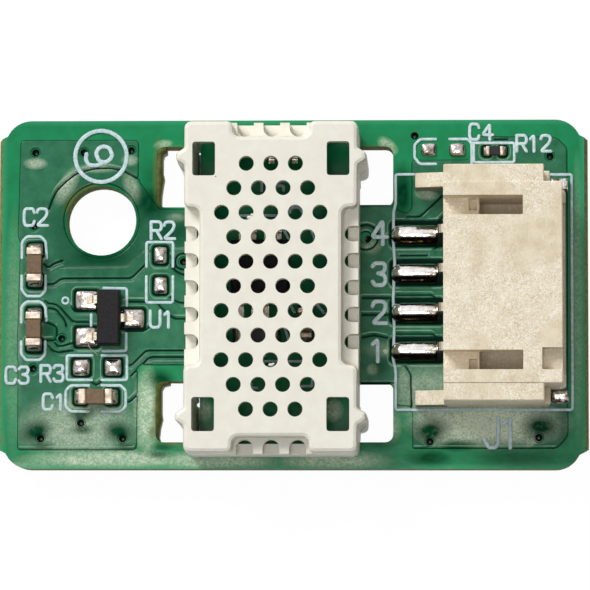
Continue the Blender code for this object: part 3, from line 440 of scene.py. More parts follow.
TRACES = [
    [(44.6, 265.8), (49.1, 269.6), (55.5, 265.2), (63.1, 262.6)],
    [(47.8, 286), (55.5, 286.2), (61.9, 280.5), (133, 280.2), (148, 265)],
    [(172, 266), (177, 273), (184, 277), (192, 277)], [(172, 258), (175, 268), (184, 271.5), (192, 271)],
    [(172, 299), (180, 305), (190, 305)],
    [(46.5, 302.5), (50, 305.5), (57, 306), (62, 309.5), (75, 324), (93, 324)],
    [(50, 310), (57, 311), (66, 321), (67.5, 328)], [(56, 344.5), (60, 348.5), (66, 347.5), (75, 345)],
    [(50, 347.5), (54, 352.5), (60, 354.5), (75, 352.5)],
    [(128, 367.5), (133, 367.5), (147, 353.5), (150, 352.8), (190, 352.8)],
    [(133, 378), (150, 360.5), (154, 359.3), (190, 359.3)], [(145, 388), (145, 378), (154, 369), (190, 369)],
    [(408.5, 219), (421.5, 219), (446, 195)], [(402, 258), (428, 258)], [(402, 287), (428, 287)],
    [(436, 251), (444, 243)], [(436, 311), (444, 303)],
]
SOFT_STEPS = [
    [(48, 209), (48, 229), (52, 234), (52, 242), (57, 252), (63, 261)],
    [(50, 272), (58, 269.8), (128, 269), (146, 252), (190, 250)], [(129, 302.5), (146, 302.5)],
]
VIAS = [(35, 152), (83.5, 152), (131, 150), (34, 226), (62.5, 339), (34, 369), (82, 423.5), (42, 439),
        (124, 439), (550, 157), (430, 442), (538, 438), (366, 238), (184, 262), (415, 136)]
RINGED_VIAS = [(366, 238, 0.27), (366, 238, 0.64), (184, 262, 0.42)]
SWELL, SWELLS_PER_MM = 0.004, 0.7
NEARBY = 0.5                  # no line shapes the sheet further off than this
PADS = [name for name in nodes if name.startswith(("transistor_pad", "solder_bump", "pin_solder"))
        or "_end_" in name]


def softened(points, radius, closed=False):
    """Points of a line or outline whose corners become arcs of up to this radius."""
    steps = 5
    result = []
    last = len(points) - 1
    for index, corner in enumerate(points):
        if not closed and index in (0, last):
            result.append(corner)
            continue
        before = points[index - 1] - corner
        after = points[(index + 1) % len(points)] - corner
        reach = min(radius, before.length * 0.45, after.length * 0.45)
        start, end = corner + before.normalized() * reach, corner + after.normalized() * reach
        for step in range(steps + 1):
            share = step / steps
            result.append(start.lerp(corner, share).lerp(corner.lerp(end, share), share))
    return result


def eased(distance, start, end):
    """Runs smoothly from zero to one while the distances run from start to end."""
    share = numpy.clip((distance - start) / (end - start), 0, 1)
    return share * share * (3 - 2 * share)


def away_from(points, path):
    """Distance of every point from a path of straight pieces."""
    nearest = numpy.full(len(points), FAR_OFF)
    for start, end in zip(path[:-1], path[1:]):
        start, along = numpy.array(start), numpy.array(end) - numpy.array(start)
        share = numpy.clip(((points - start) @ along) / (along @ along), 0, 1)
        nearest = numpy.minimum(nearest, numpy.linalg.norm(points - start - share[:, None] * along, axis=1))
    return nearest


def nearest_of(points, paths, shift=(0, 0)):
    """Distance of every point from the nearest of several paths given in the view's pixels."""
    nearest = numpy.full(len(points), FAR_OFF)
    for path in paths:
        line = softened([spot(across + shift[0], down + shift[1]) for across, down in path],
                        LINE_ROUNDING)
        low, high = numpy.min(line, axis=0) - NEARBY, numpy.max(line, axis=0) + NEARBY
        near = numpy.all((points > low) & (points < high), axis=1)
        nearest[near] = numpy.minimum(nearest[near], away_from(points[near], line))
    return nearest


def into(points, outline):
    """How far every point lies inside a closed outline; outside it is negative."""
    closed = outline + outline[:1]
    inside = numpy.zeros(len(points), bool)
    for first, second in zip(closed[:-1], closed[1:]):
        if first.y == second.y:
            continue
        crossing = (first.y > points[:, 1]) != (second.y > points[:, 1])
        side = (second.x - first.x) * (points[:, 1] - first.y) / (second.y - first.y) + first.x
        inside ^= crossing & (points[:, 0] < side)
    gap = away_from(points, closed)
    return numpy.where(inside, gap, -gap)


def off_box(points, name):
    """Distance of every point from the rounded rectangle under a node."""
    low, high = (numpy.array(corner[:2]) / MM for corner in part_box(name))
    away = numpy.abs(points - (low + high) / 2) - ((high - low) / 2 - PAD_ROUNDING)
    return numpy.linalg.norm(numpy.maximum(away, 0), axis=1) - PAD_ROUNDING


def off_spots(points, rows):
    """Distance of every point from the nearest of some spots in the view's pixels."""
    nearest = numpy.full(len(points), FAR_OFF)
    for row in rows:
        nearest = numpy.minimum(nearest, numpy.linalg.norm(points - numpy.array(spot(*row[:2])), axis=1))
    return nearest


def foil_heights(points, side):
    """Height of the mask over the board's bare top at every point of one side's sheet."""
    height = numpy.full(len(points), FOIL_HEIGHT)
    gap = nearest_of(points, GAPS)
    for across, down, radius in RINGED_VIAS:
        gap = numpy.minimum(gap, numpy.abs(off_spots(points, [(across, down)]) - radius))
    gap = numpy.minimum(gap, nearest_of(points, TRACES, GAP_SHIFT))
    lip = numpy.minimum(nearest_of(points, TRACES, LIP_SHIFT), nearest_of(points, GAPS, LIP_SHIFT))
    far = numpy.minimum(nearest_of(points, TRACES, FAR_SHIFT), nearest_of(points, SOFT_STEPS))
    height += LIP_HEIGHT * (1 - eased(lip, *LIP_EDGE))
    height -= SHOULDER_DEPTH * (1 - eased(gap, *SHOULDER_EDGE))
    height -= GAP_DEPTH * (1 - eased(gap, *GAP_EDGE))
    height -= STEP_DEPTH * (1 - eased(far, *STEP_EDGE))
    pad = numpy.full(len(points), FAR_OFF)
    for name in PADS:
        reach = PIN_MOAT_REACH if name.startswith("pin_solder") else MOAT_REACH
        pad = numpy.minimum(pad, off_box(points, name) - reach)
    height += LIP_HEIGHT * (1 - eased(numpy.abs(pad - MOAT_LIP), 0.0, MOAT_LIP_WIDTH))
    height -= (GAP_DEPTH + SHOULDER_DEPTH) * (1 - eased(pad, *MOAT_EDGE))
    via = off_spots(points, VIAS) - VIA_RADIUS
    height += VIA_RING_HEIGHT * (1 - eased(numpy.abs(via - VIA_RING), 0.0, VIA_RING))
    height -= VIA_DIP * (1 - eased(via, *VIA_DIP_EDGE))
    for index, (x, y) in enumerate(points):
        height[index] += SWELL * noise.noise(Vector((x * SWELLS_PER_MM, y * SWELLS_PER_MM, 3.0)))
    height = numpy.maximum(height, FLOOR_HEIGHT)
    outline = softened([spot(*corner) for corner in COPPER_OUTLINES[side]], OUTLINE_ROUNDING, True)
    hole = numpy.linalg.norm(points - numpy.array(MOUNT_HOLE), axis=1) - MOUNT_CLEAR
    rim = numpy.minimum(numpy.minimum(into(points, outline), hole), via - PLUG_OVERLAP)
    return SUNK_HEIGHT + (height - SUNK_HEIGHT) * eased(rim, *RIM_EDGE)


def plain_piece(name, shape, finish):
    """Finished piece on the module's one body, from a bmesh in millimetres."""
    piece = bpy.data.objects.new(name, plain_mesh(name, shape))
    piece.data.materials.append(finish)
    piece.data.shade_smooth()
    scene.collection.objects.link(piece)
    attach(piece, "root")
    return piece


copper_finish, tree, shader = new_material("green_mask_on_copper", MASK_ROUGHNESS, shine=MASK_SHINE)
level = add_node(tree, "ShaderNodeSeparateXYZ", {0: object_place(tree)}).outputs["Z"]
sunk = ranged(tree, level, (BOARD_TOP + SUNK_LEVEL) * MM, (BOARD_TOP + BRINK_LEVEL) * MM, 1.0, 0.0)
green, shine = with_stains_and_painted_light(tree, mottle(tree, COPPER_GREEN, COPPER_GREEN_DULL, 1.6, 2.0))
# Painted highlight on the raised lips, and painted shade in the sunk gaps and moats.
lip_highlight = ranged(tree, level, (BOARD_TOP + FOIL_HEIGHT + LIP_START) * MM,
                (BOARD_TOP + FOIL_HEIGHT + LIP_HEIGHT) * MM, 0.0, LIP_HIGHLIGHT_SHARE)
green = mixed(tree, lip_highlight, green, LIP_HIGHLIGHT_GREEN)
feed(shader, "Base Color", mixed(tree, sunk, green, GAP_SHADE_GREEN))
shine = math_node(tree, "MULTIPLY", shine, ranged(tree, sunk, 0.0, 1.0, 1.0, GAP_SHINE))
feed(shader, "Specular IOR Level", shine)
roughen(tree, shader, *MASK_WAVES)

UNDER_HOUSING = ((8.2, -5.4), (13.5, 5.6))   # the sheet is left out where the connector hides it
for side, ((left, top), (right, bottom)) in SHEET_BOXES.items():
    low, high = spot(left, bottom), spot(right, top)
    size = high - low
    shape = bmesh.new()
    bmesh.ops.create_grid(shape, x_segments=round(size.x / SHEET_STEP), y_segments=round(size.y / SHEET_STEP),
                          size=0.5)
    bmesh.ops.scale(shape, vec=(size.x, size.y, 1), verts=shape.verts)
    bmesh.ops.translate(shape, vec=((low.x + high.x) / 2, (low.y + high.y) / 2, BOARD_TOP), verts=shape.verts)
    points = numpy.array([vert.co.xy for vert in shape.verts])
    heights = foil_heights(points, side)
    hidden = numpy.all((points > UNDER_HOUSING[0]) & (points < UNDER_HOUSING[1]), axis=1)
    gone = hidden | (heights < SUNK_HEIGHT + 0.001)
    for vert, height in zip(shape.verts, heights):
        vert.co.z += height
    shape.verts.ensure_lookup_table()
    away = [face for face in shape.faces if all(gone[vert.index] for vert in face.verts)]
    bmesh.ops.delete(shape, geom=away, context="FACES")
    plain_piece(f"copper_foil_{side}", shape, copper_finish)


# Every via is a plated hole; mask has run into it and plugs it a little way down, and the plug is coloured
# dark as painted shade in the narrow hole.
VIA_PLUG_DEPTH, VIA_PLUG_THICKNESS, VIA_PLUG_TAPER = 0.35, 0.1, 0.03


def mottled_finish(name, surface, first, second, per_mm, contrast, grain=None):
    """Material mottled between two colours, from its roughness, metallic and shine and from its grain."""
    finish, tree, shader = new_material(name, *surface)
    feed(shader, "Base Color", mottle(tree, colour(*first), colour(*second), per_mm, contrast))
    if grain:
        roughen(tree, shader, *grain)
    return finish


plug_finish = mottled_finish("via_plug_painted_shade", (0.35,), (16, 44, 34), (4, 14, 12), 5.0, 3.0)
plugs = bmesh.new()
for across, down in VIAS:
    place = Matrix.Translation((*spot(across, down), BOARD_TOP - VIA_PLUG_DEPTH))
    bmesh.ops.create_cone(plugs, cap_ends=True, segments=20, radius1=VIA_RADIUS + PLUG_OVERLAP,
                          radius2=VIA_RADIUS - VIA_PLUG_TAPER, depth=VIA_PLUG_THICKNESS, matrix=place)
plain_piece("via_plugs", plugs, plug_finish)


# The routing cutter has left the left-hand slots a little narrow and wavy, with bare laminate showing.
SLOT_LIPS = [
    [(156, 147), (166, 147), (166, 151.5), (163, 153), (161.8, 157), (161.8, 171), (163.2, 177), (162, 184),
     (160.6, 194), (160.4, 203), (162, 209), (156, 209)],
    [(153, 381), (170, 381), (170, 384.5), (164, 386), (161.8, 390), (161.8, 413), (162.6, 419), (160.4, 428),
     (159.4, 437), (161, 443), (153, 443)],
]
LIP_INSET = 0.02              # under the board's top and over its underside
lip_finish = mottled_finish("bare_laminate", (0.5, 0.0, 0.3), OLIVE, (58, 66, 26), 3.0, 2.4)
lips = bmesh.new()
for outline in SLOT_LIPS:
    face = lips.faces.new([lips.verts.new((*spot(*corner), BOARD_TOP - LIP_INSET)) for corner in outline])
    grown = bmesh.ops.extrude_face_region(lips, geom=[face])
    moved = [item for item in grown["geom"] if isinstance(item, bmesh.types.BMVert)]
    bmesh.ops.translate(lips, vec=(0, 0, BOARD_BOTTOM + LIP_INSET * 2 - BOARD_TOP), verts=moved)
bmesh.ops.recalc_face_normals(lips, faces=lips.faces[:])
plain_piece("slot_lips", lips, lip_finish)


# The silkscreen is pale ink printed over the mask: outlines of the parts, plain numbers for the
# connector's four ways, a ringed number and generic labels.
INK_THICKNESS, INK_LEVEL = 0.04, BOARD_TOP + FOIL_HEIGHT
OUTLINE_STROKE, LETTER_STROKE, NUMERAL_STROKE, RING_STROKE, DOT_STROKE = 0.15, 0.17, 0.22, 0.23, 0.12
GLYPHS = {
    "C": [[(0.6, 0.76), (0.52, 1), (0.08, 1), (0, 0.8), (0, 0.2), (0.08, 0), (0.52, 0), (0.6, 0.24)]],
    "J": [[(0.46, 1), (0.46, 0.14), (0.36, 0), (0.14, 0), (0, 0.28)]],
    "R": [[(0, 0), (0, 1)], [(0, 1), (0.5, 1), (0.6, 0.85), (0.6, 0.62), (0.5, 0.48), (0, 0.48)],
          [(0.32, 0.48), (0.6, 0)]],
    "U": [[(0, 1), (0, 0.15), (0.12, 0), (0.48, 0), (0.6, 0.15), (0.6, 1)]],
    "1": [[(0.1, 0.78), (0.32, 1), (0.32, 0)]],
    "2": [[(0, 0.78), (0.06, 0.96), (0.3, 1), (0.54, 0.96), (0.6, 0.75), (0.5, 0.5), (0, 0), (0.62, 0)]],
    "3": [[(0, 0.86), (0.1, 1), (0.5, 1), (0.58, 0.84), (0.5, 0.58), (0.25, 0.54)],
          [(0.25, 0.54), (0.54, 0.46), (0.6, 0.22), (0.5, 0), (0.1, 0), (0, 0.16)]],
    "4": [[(0.46, 0), (0.46, 1), (0, 0.3), (0.64, 0.3)]],
    "6": [[(0.56, 0.9), (0.4, 1), (0.15, 1), (0, 0.72), (0, 0.2), (0.12, 0), (0.46, 0), (0.6, 0.2),
           (0.6, 0.38), (0.46, 0.56), (0.12, 0.56), (0, 0.36)]],
}


def curve_mesh(curve):
    """Bmesh of a curve, which is used up."""
    guide = bpy.data.objects.new("guide", curve)
    mesh = bpy.data.meshes.new_from_object(guide)
    bpy.data.objects.remove(guide)
    bpy.data.curves.remove(curve)
    shape = bmesh.new()
    shape.from_mesh(mesh)
    bpy.data.meshes.remove(mesh)
    bmesh.ops.remove_doubles(shape, verts=shape.verts, dist=0.0005)
    bmesh.ops.recalc_face_normals(shape, faces=shape.faces)
    return shape


def swept(path, width, thickness, level):
    """Round-ended line along a path in millimetres, flattened to a thickness, its axis at a level."""
    curve = bpy.data.curves.new("line", "CURVE")
    curve.dimensions = "3D"
    curve.twist_mode = "Z_UP"
    curve.bevel_depth = width / 2
    curve.bevel_resolution = 2
    curve.use_fill_caps = True
    first = path[0], (path[0] - path[1]).normalized() * width / 2
    last = path[-1], (path[-1] - path[-2]).normalized() * width / 2
    ends = [[(end + outward * reach, radius) for reach, radius in ((0.95, 0.3), (0.6, 0.8))]
            for end, outward in (first, last)]
    points = ends[0] + [(point, 1.0) for point in path] + ends[1][::-1]
    spline = curve.splines.new("POLY")
    spline.points.add(len(points) - 1)
    for target, (point, radius) in zip(spline.points, points):
        target.co = (point.x, point.y, 0, 1)
        target.radius = radius
    shape = curve_mesh(curve)
    bmesh.ops.scale(shape, vec=(1, 1, thickness / width), verts=shape.verts)
    bmesh.ops.translate(shape, vec=(0, 0, level), verts=shape.verts)
    return shape


def joined(shapes):
    """One bmesh from several, which are used up."""
    whole = bmesh.new()
    for shape in shapes:
        mesh = bpy.data.meshes.new("piece")
        shape.to_mesh(mesh)
        shape.free()
        whole.from_mesh(mesh)
        bpy.data.meshes.remove(mesh)
    return whole


def ring_points(centre, radius, count):
    """Points all round a circle."""
    angles = [math.tau * step / count for step in range(count + 1)]
    return [Vector((centre[0] + radius * math.cos(a), centre[1] + radius * math.sin(a))) for a in angles]


def lettering(text, corner, size, pitch, turn=0.0):
    """Stroke paths of a label from its lower left corner, with its letters' height and pitch."""
    paths = []
    for index, letter in enumerate(text):
        for stroke in GLYPHS[letter]:
            points = [Vector((x * size + index * pitch, y * size)) for x, y in stroke]
            points = [Matrix.Rotation(turn, 2) @ point + corner for point in points]
            paths.append(softened(points, size * LETTER_ROUNDING))
    return paths


ink_finish = mottled_finish("pale_printed_ink", (0.5,), (206, 224, 228), (168, 194, 198), 5.0, 3.0,
                            (12.0, 0.012))
OUTLINES = {
    "connector": [[(414, 175), (396, 175), (396, 205), (394, 212), (393.5, 240), (395, 262), (393.5, 300),
                   (394.5, 330), (393.5, 360), (396, 372), (396, 410.5), (571.5, 410.5), (571.5, 175.5),
                   (551, 175.5)]],
    "capacitor_upper": [[(22, 258), (22, 242), (27, 236.5), (41, 236.5), (46, 242), (47, 258)],
                        [(22, 276), (22, 290), (27, 296.5), (41, 296.5), (46, 291), (46, 276)]],
    "capacitor_lower": [[(22, 323), (22, 307), (27, 302), (41, 302), (46, 307), (47, 321)],
                        [(22, 342), (22, 354), (27, 360.5), (41, 360.5), (46, 355), (46, 342)]],
    "capacitor_front": [[(90, 386), (72, 386), (67, 391), (67, 407), (72, 412), (90, 412)],
                        [(103, 386), (122, 386), (127, 391), (127, 407), (122, 412), (103, 412)]],
    "footprint_front": [[(93, 356), (68, 356), (68, 380.5), (93, 380.5)],
                        [(103, 356), (128, 356), (128, 380.5), (103, 380.5)]],
    "footprint_middle": [[(147, 267), (147, 242.5), (173.5, 242.5), (173.5, 267)],
                         [(147, 277), (147, 303), (173.5, 303), (173.5, 277)]],
    "footprint_back": [[(436, 139.5), (421, 139.5), (415, 145), (415, 158), (420, 164.5), (436, 164.5)],
                       [(450, 139.5), (468, 139.5), (472, 144), (472, 165)]],
    "resistor_back": [[(472, 143.5), (514.5, 143.5), (514.5, 163), (474, 163), (474, 143.5)]],
    "transistor": [[(104, 288.5), (127.5, 289), (127.5, 306)], [(127, 334), (127, 351.5), (104, 351.5)],
                   [(92, 315), (92, 326)]],
    "under_cap": [[(262, 165), (262, 191)], [(277, 186), (284, 186), (284, 191)], [(240, 216), (254, 216)],
                  [(265, 216), (278, 216)], [(284, 230), (290, 241)], [(312, 232), (316, 241)],
                  [(291, 305), (295, 313)], [(316, 304), (325, 314)], [(286, 330), (289, 340)],
                  [(262, 362), (304, 362)], [(252, 384), (252, 388.5), (258, 388.5)],
                  [(303, 387), (313, 387), (313, 380)], [(290, 213), (292, 208), (300, 208), (303, 213)]],
}
LABELS = [
    ("C2", (24, 225.5), 17, 13), ("R2", (151.5, 239), 17, 13), ("U1", (151, 328), 16.5, 13),
    ("C3", (7, 384), 16.5, 13), ("R3", (42, 382), 16, 13), ("C1", (44.5, 410), 15.5, 12.5),
    ("C4", (470, 140), 15.5, 13), ("R12", (517, 152), 16, 12),
]
HEAVY_LABELS = [("4", (372, 245), 24, 0), ("3", (373, 286), 22, 0), ("2", (373, 324), 22, 0),
                ("1", (371, 362), 22, 0), ("J1", (484, 448), 30, 16)]
RING_PLACE, RING_RADIUS, RING_POINTS = spot(100.8, 156), 1.33, 48
DIGIT_CORNER, DIGIT_SIZE, DIGIT_TURN = RING_PLACE + Vector((0.66, -0.12)), 1.35, math.radians(112)
DOT_PLACE, DOT_RADIUS, DOT_POINTS = spot(66, 301), 0.16, 16
BEND_ROUNDING, LETTER_ROUNDING = 0.12, 0.16   # the second is a share of the letter's height

strokes = [(softened([spot(*point) for point in path], BEND_ROUNDING), OUTLINE_STROKE)
           for paths in OUTLINES.values() for path in paths]
for stroke, labels in ((LETTER_STROKE, LABELS), (NUMERAL_STROKE, HEAVY_LABELS)):
    for text, corner, size, pitch in labels:
        paths = lettering(text, spot(*corner), size / PICTURE_SCALE, pitch / PICTURE_SCALE)
        strokes += [(path, stroke) for path in paths]
strokes.append((ring_points(RING_PLACE, RING_RADIUS, RING_POINTS), RING_STROKE))
strokes += [(path, NUMERAL_STROKE) for path in lettering("6", DIGIT_CORNER, DIGIT_SIZE, 0, DIGIT_TURN)]
strokes.append((ring_points(DOT_PLACE, DOT_RADIUS, DOT_POINTS), DOT_STROKE))
lines = [swept(path, width, INK_THICKNESS, INK_LEVEL) for path, width in strokes]
plain_piece("silkscreen", joined(lines), ink_finish)


# The vent cap is one moulding in off-white plastic, matt with a fine moulded grain. Its edges are
# softly rounded, two vents keep a little flash and one dark speck sits in the skin.
CAP_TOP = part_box("vent_cap")[1].z / MM
CAP_SCALE, CAP_PICTURE = 20.0, (289.0, 285.0)   # pixels of the view per millimetre at its top, and its middle
CAP_ROUNDING = 0.06
FLASH = [(249.5, 215.5, 0.12), (252, 212.5, 0.07), (271.2, 364.5, 0.1), (273.5, 363.5, 0.06)]
FLASH_SINK, FLASH_STRETCH = 0.12, (1.4, 0.8, 1.0, 1.0)
SPECK_SPOT, SPECK_RADIUS, SPECK_SINK = (215, 174), 0.05, 0.035


def soften_edges(names, width, segments=2, angle=35):
    """Rounds the edges of these nodes with live modifiers, after their loose triangles are merged."""
    for name in names:
        weld = nodes[name].modifiers.new("merged", "WELD")
        weld.merge_threshold = 0.002 * MM
        bevel = nodes[name].modifiers.new("rounded", "BEVEL")
        bevel.width = width * MM
        bevel.segments = segments
        bevel.limit_method = "ANGLE"
        bevel.angle_limit = math.radians(angle)


def cap_place(across, down, sink):
    """Matrix of a place under the cap's top from where it lies in the view."""
    return Matrix.Translation(((across - CAP_PICTURE[0]) / CAP_SCALE, (CAP_PICTURE[1] - down) / CAP_SCALE,
                               CAP_TOP - sink))


cap_finish = mottled_finish("off_white_moulding", (0.42,), (237, 234, 222), (227, 223, 208), 1.5, 1.6,
                            (11.0, 0.006))
put_on(["vent_cap"], cap_finish)
soften_edges(["vent_cap"], CAP_ROUNDING, 2, 40)
flash = bmesh.new()
for across, down, radius in FLASH:
    bmesh.ops.create_icosphere(flash, subdivisions=2, radius=radius,
                               matrix=cap_place(across, down, FLASH_SINK) @ Matrix.Diagonal(FLASH_STRETCH))
plain_piece("vent_flash", flash, cap_finish)
speck = bmesh.new()
bmesh.ops.create_icosphere(speck, subdivisions=2, radius=SPECK_RADIUS,
                           matrix=cap_place(*SPECK_SPOT, SPECK_SINK))
plain_piece("cap_speck", speck, mottled_finish("dark_speck", (0.6,), (92, 74, 60), (60, 48, 40), 8.0, 2.0))


# The connector's housing is moulded in glass-filled nylon: beige, with paler fibres and specks
# all over its skin, and duller in its recesses.
HOUSING_BEIGE, HOUSING_PALE = colour(208, 192, 158), colour(230, 216, 188)
HOUSING_SPECK, HOUSING_FLOOR = colour(255, 250, 236), colour(216, 198, 170)
HOUSING_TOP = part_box("connector_housing")[1].z / MM
RECESS_DEPTH, RECESS_START, RECESS_ROWS = 1.2, 8.0, (4.6, -3.4)
RECESS_HALF_WIDTHS = (0.8, 0.65)   # where the duller floor starts and is full, off a row's middle
FIBRE_TURN, FIBRE_STRETCH = (0, 0, 0.9), (1, 0.22, 1)
CREASE_WARP = 1.4             # how far the fine creases are pulled out of shape
# Painted shade: the wings are darkened towards brown from 2 mm under the housing's top, and strongly on their
# lowest flanks.
FOOT_SHADE_BROWN = colour(96, 80, 50)
FOOT_LEVEL, BACK_LEVEL = 4.4, HOUSING_TOP - 2   # the lower flanks, in the shade of those above, are browner
housing_finish, tree, shader = new_material("glass_filled_nylon", 0.5)


def product(first, second):
    """Value socket of two others multiplied, in the housing's material."""
    return math_node(tree, "MULTIPLY", first, second)


place = object_place(tree)
along_fibres = add_node(tree, "ShaderNodeMapping",
                        {"Vector": place, "Rotation": FIBRE_TURN, "Scale": FIBRE_STRETCH})
fibre = clouds(tree, along_fibres.outputs[0], 9.0, 4.0, 0.7, 1.2)[0]
speckle = clouds(tree, place, 6.5, 5.0, 0.75)[0]
cloud = clouds(tree, place, 0.45, 2.0)[0]
base = mottle(tree, HOUSING_BEIGE, HOUSING_PALE, 1.1, 3.0)
base = mixed(tree, ranged(tree, fibre, 0.52, 0.72, 0.0, 0.4), base, HOUSING_SPECK)
warp = clouds(tree, place, 1.6, 3.0)[1]
warp = add_node(tree, "ShaderNodeVectorMath", {0: warp, 1: (CREASE_WARP * MM,) * 3}, operation="MULTIPLY")
warp = add_node(tree, "ShaderNodeVectorMath", {0: place, 1: warp.outputs[0]}, operation="ADD")
crease = add_node(tree, "ShaderNodeTexVoronoi", {"Vector": warp.outputs[0], "Scale": 5.4 * PER_METRE},
                  feature="DISTANCE_TO_EDGE").outputs["Distance"]
creased = product(ranged(tree, crease, 0.12, 0.0), ranged(tree, cloud, 0.4, 0.56, 0.15, 0.85))
base = mixed(tree, creased, base, HOUSING_SPECK)
speckled = product(ranged(tree, speckle, 0.52, 0.68), ranged(tree, cloud, 0.4, 0.56, 0.1, 0.6))
base = mixed(tree, speckled, base, HOUSING_SPECK)
split = add_node(tree, "ShaderNodeSeparateXYZ", {0: place}).outputs
sunk = ranged(tree, split["Z"], (HOUSING_TOP - RECESS_DEPTH) * MM, (HOUSING_TOP - 0.4) * MM, 0.55, 0.0)
sunk = product(sunk, ranged(tree, split["X"], RECESS_START * MM, (RECESS_START + 0.1) * MM))
off_rows = [math_node(tree, "ABSOLUTE", math_node(tree, "SUBTRACT", split["Y"], row * MM))
            for row in RECESS_ROWS]
off_row = math_node(tree, "MINIMUM", *off_rows)
sunk = product(sunk, ranged(tree, off_row, *(width * MM for width in RECESS_HALF_WIDTHS)))
base = mixed(tree, sunk, base, HOUSING_FLOOR)
base = mixed(tree, product(sunk, ranged(tree, speckle, 0.5, 0.62, 0.0, 0.7)), base, HOUSING_SPECK)
# Painted shade on the wings' lower flanks.
low = math_node(tree, "MAXIMUM", ranged(tree, split["Z"], FOOT_LEVEL * MM, (FOOT_LEVEL - 0.3) * MM, 0.0, 0.8),
                ranged(tree, split["Z"], BACK_LEVEL * MM, (BACK_LEVEL - 0.2) * MM, 0.0, 0.16))
low = product(low, ranged(tree, split["X"], RECESS_START * MM, (RECESS_START - 0.1) * MM))
feed(shader, "Base Color", mixed(tree, low, base, FOOT_SHADE_BROWN))
roughen(tree, shader, 7.0, 0.02, 4.0)
put_on(["connector_housing"], housing_finish)


# The contacts are tinned brass wire bent flat at the foot, and the two hold-down tabs are tinned
# too. Bright solder has flowed over each foot and holds it to its pad.
PIN_NUMBERS = (1, 2, 3, 4)
SOLDER_FIRST, SOLDER_LAST = 5.06, 7.46     # along the board, from the foot's tip towards the housing
SOLDER_TIP, SOLDER_HEEL = 0.56, 0.14       # how long its rounded ends are
SOLDER_HALF_WIDTH, SOLDER_CROWN = 0.56, 0.68
SOLDER_SHIFT = 0.07           # the solder has crept a little to the front of each foot
FIRST_ROW, ROW_PITCH = 3.1, 2.0
FLUX_AND_SHADE_FRONT, FLUX_AND_SHADE_REAR = (-0.14, -0.27), (0.4, 0.47)   # dark flux and painted dark reflection start and are full, off a row's middle
# Flux residue together with a painted dark reflection, and yellow painted glints.
FLUX_AND_SHADE_BROWN, FLUX_AND_SHADE_DARK, PAINTED_GLINT_YELLOW = colour(52, 40, 30), colour(14, 13, 12), colour(140, 126, 44)
METAL = ("connector_pin", "hold_down_tab", "transistor_lead", "signal_chip_lead", "humidity_lead")
METAL_ROUNDING = 0.05
PAD_CROWN, BUMP_CROWN = 0.2, 0.3
solder_finish, tree, shader = new_material("bright_solder", 0.16, 1.0)
bright = mottle(tree, colour(250, 248, 246), colour(214, 206, 200), 2.5, 2.2)
place = object_place(tree)
from_first = math_node(tree, "SUBTRACT", add_node(tree, "ShaderNodeSeparateXYZ", {0: place}).outputs["Y"],
                       FIRST_ROW * MM)
off_row = add_node(tree, "ShaderNodeMath", {0: from_first, 1: ROW_PITCH / 2 * MM, 2: -ROW_PITCH / 2 * MM},
                   operation="WRAP").outputs[0]
front, rear = (ranged(tree, off_row, start * MM, full * MM) for start, full in (FLUX_AND_SHADE_FRONT, FLUX_AND_SHADE_REAR))
glint = clouds(tree, place, 3.6, 3.0)[0]
# Flux and painted dark reflection, with painted yellow glints.
flux_and_shade = mottle(tree, FLUX_AND_SHADE_BROWN, FLUX_AND_SHADE_DARK, 4.0, 3.0)
flux_and_shade = mixed(tree, ranged(tree, glint, 0.64, 0.74), flux_and_shade, PAINTED_GLINT_YELLOW)
feed(shader, "Base Color", mixed(tree, math_node(tree, "MAXIMUM", front, rear), bright, flux_and_shade))
roughen(tree, shader, 4.0, 0.02, 3.0)


def soldered_foot(row):
    """Bar of solder lying along a row of the board, with a pointed and a blunt end, half sunk."""
    shape = bmesh.new()
    bmesh.ops.create_uvsphere(shape, u_segments=32, v_segments=16, radius=1.0)
    tip, heel = SOLDER_FIRST + SOLDER_TIP, SOLDER_LAST - SOLDER_HEEL
    for vert in shape.verts:
        x, y, z = vert.co
        along = tip + x * SOLDER_TIP if x < 0 else heel + x * SOLDER_HEEL
        if abs(x) < 0.001:
            along = (tip + heel) / 2
        fuller = math.sqrt((1 - x ** 3) / (1 - x * x)) if 0 < x < 0.999 else 1.0
        vert.co = (along, row + y * SOLDER_HALF_WIDTH * fuller, z * SOLDER_CROWN * fuller)
    return shape


def dome(low, high, crown, squareness=0.8, fullness=0.6):
    """Blob of solder over a rectangle, whose lower half is sunk in the board."""
    shape = bmesh.new()
    bmesh.ops.create_uvsphere(shape, u_segments=36, v_segments=18, radius=1.0)
    middle, half = (low + high) / 2, (high - low) / 2
    for vert in shape.verts:
        x, y, z = vert.co
        flat = math.hypot(x, y)
        swell = (max(abs(x), abs(y)) / flat) ** -squareness if flat > 0.0001 else 1.0
        lift = math.copysign(abs(z) ** fullness, z)
        vert.co = (middle.x + x * swell * half.x, middle.y + y * swell * half.y, lift * crown)
    return shape


def set_on_board(shape, amount, per_mm, seed):
    """Makes a blob's skin uneven, by up to so many millimetres, and sets its middle at the board's top."""
    shape.normal_update()
    for vert in shape.verts:
        vert.co += vert.normal * amount * noise.noise(vert.co * per_mm + Vector((seed, 0, 0)))
    bmesh.ops.translate(shape, vec=(0, 0, BOARD_TOP), verts=shape.verts)


def corners_of(name):
    """Low and high corner of a node's box in millimetres."""
    return [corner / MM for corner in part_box(name)]


def named(start, end=""):
    """Nodes whose names start and end so."""
    return [name for name in nodes if name.startswith(start) and name.endswith(end)]


for number in PIN_NUMBERS:
    low, high = corners_of(f"connector_pin_{number}")
    bar = soldered_foot((low.y + high.y) / 2 - SOLDER_SHIFT)
    set_on_board(bar, 0.02, 1.6, number * 7.0)
    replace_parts(plain_piece(f"soldered_foot_{number}", bar, solder_finish), f"pin_solder_{number}")

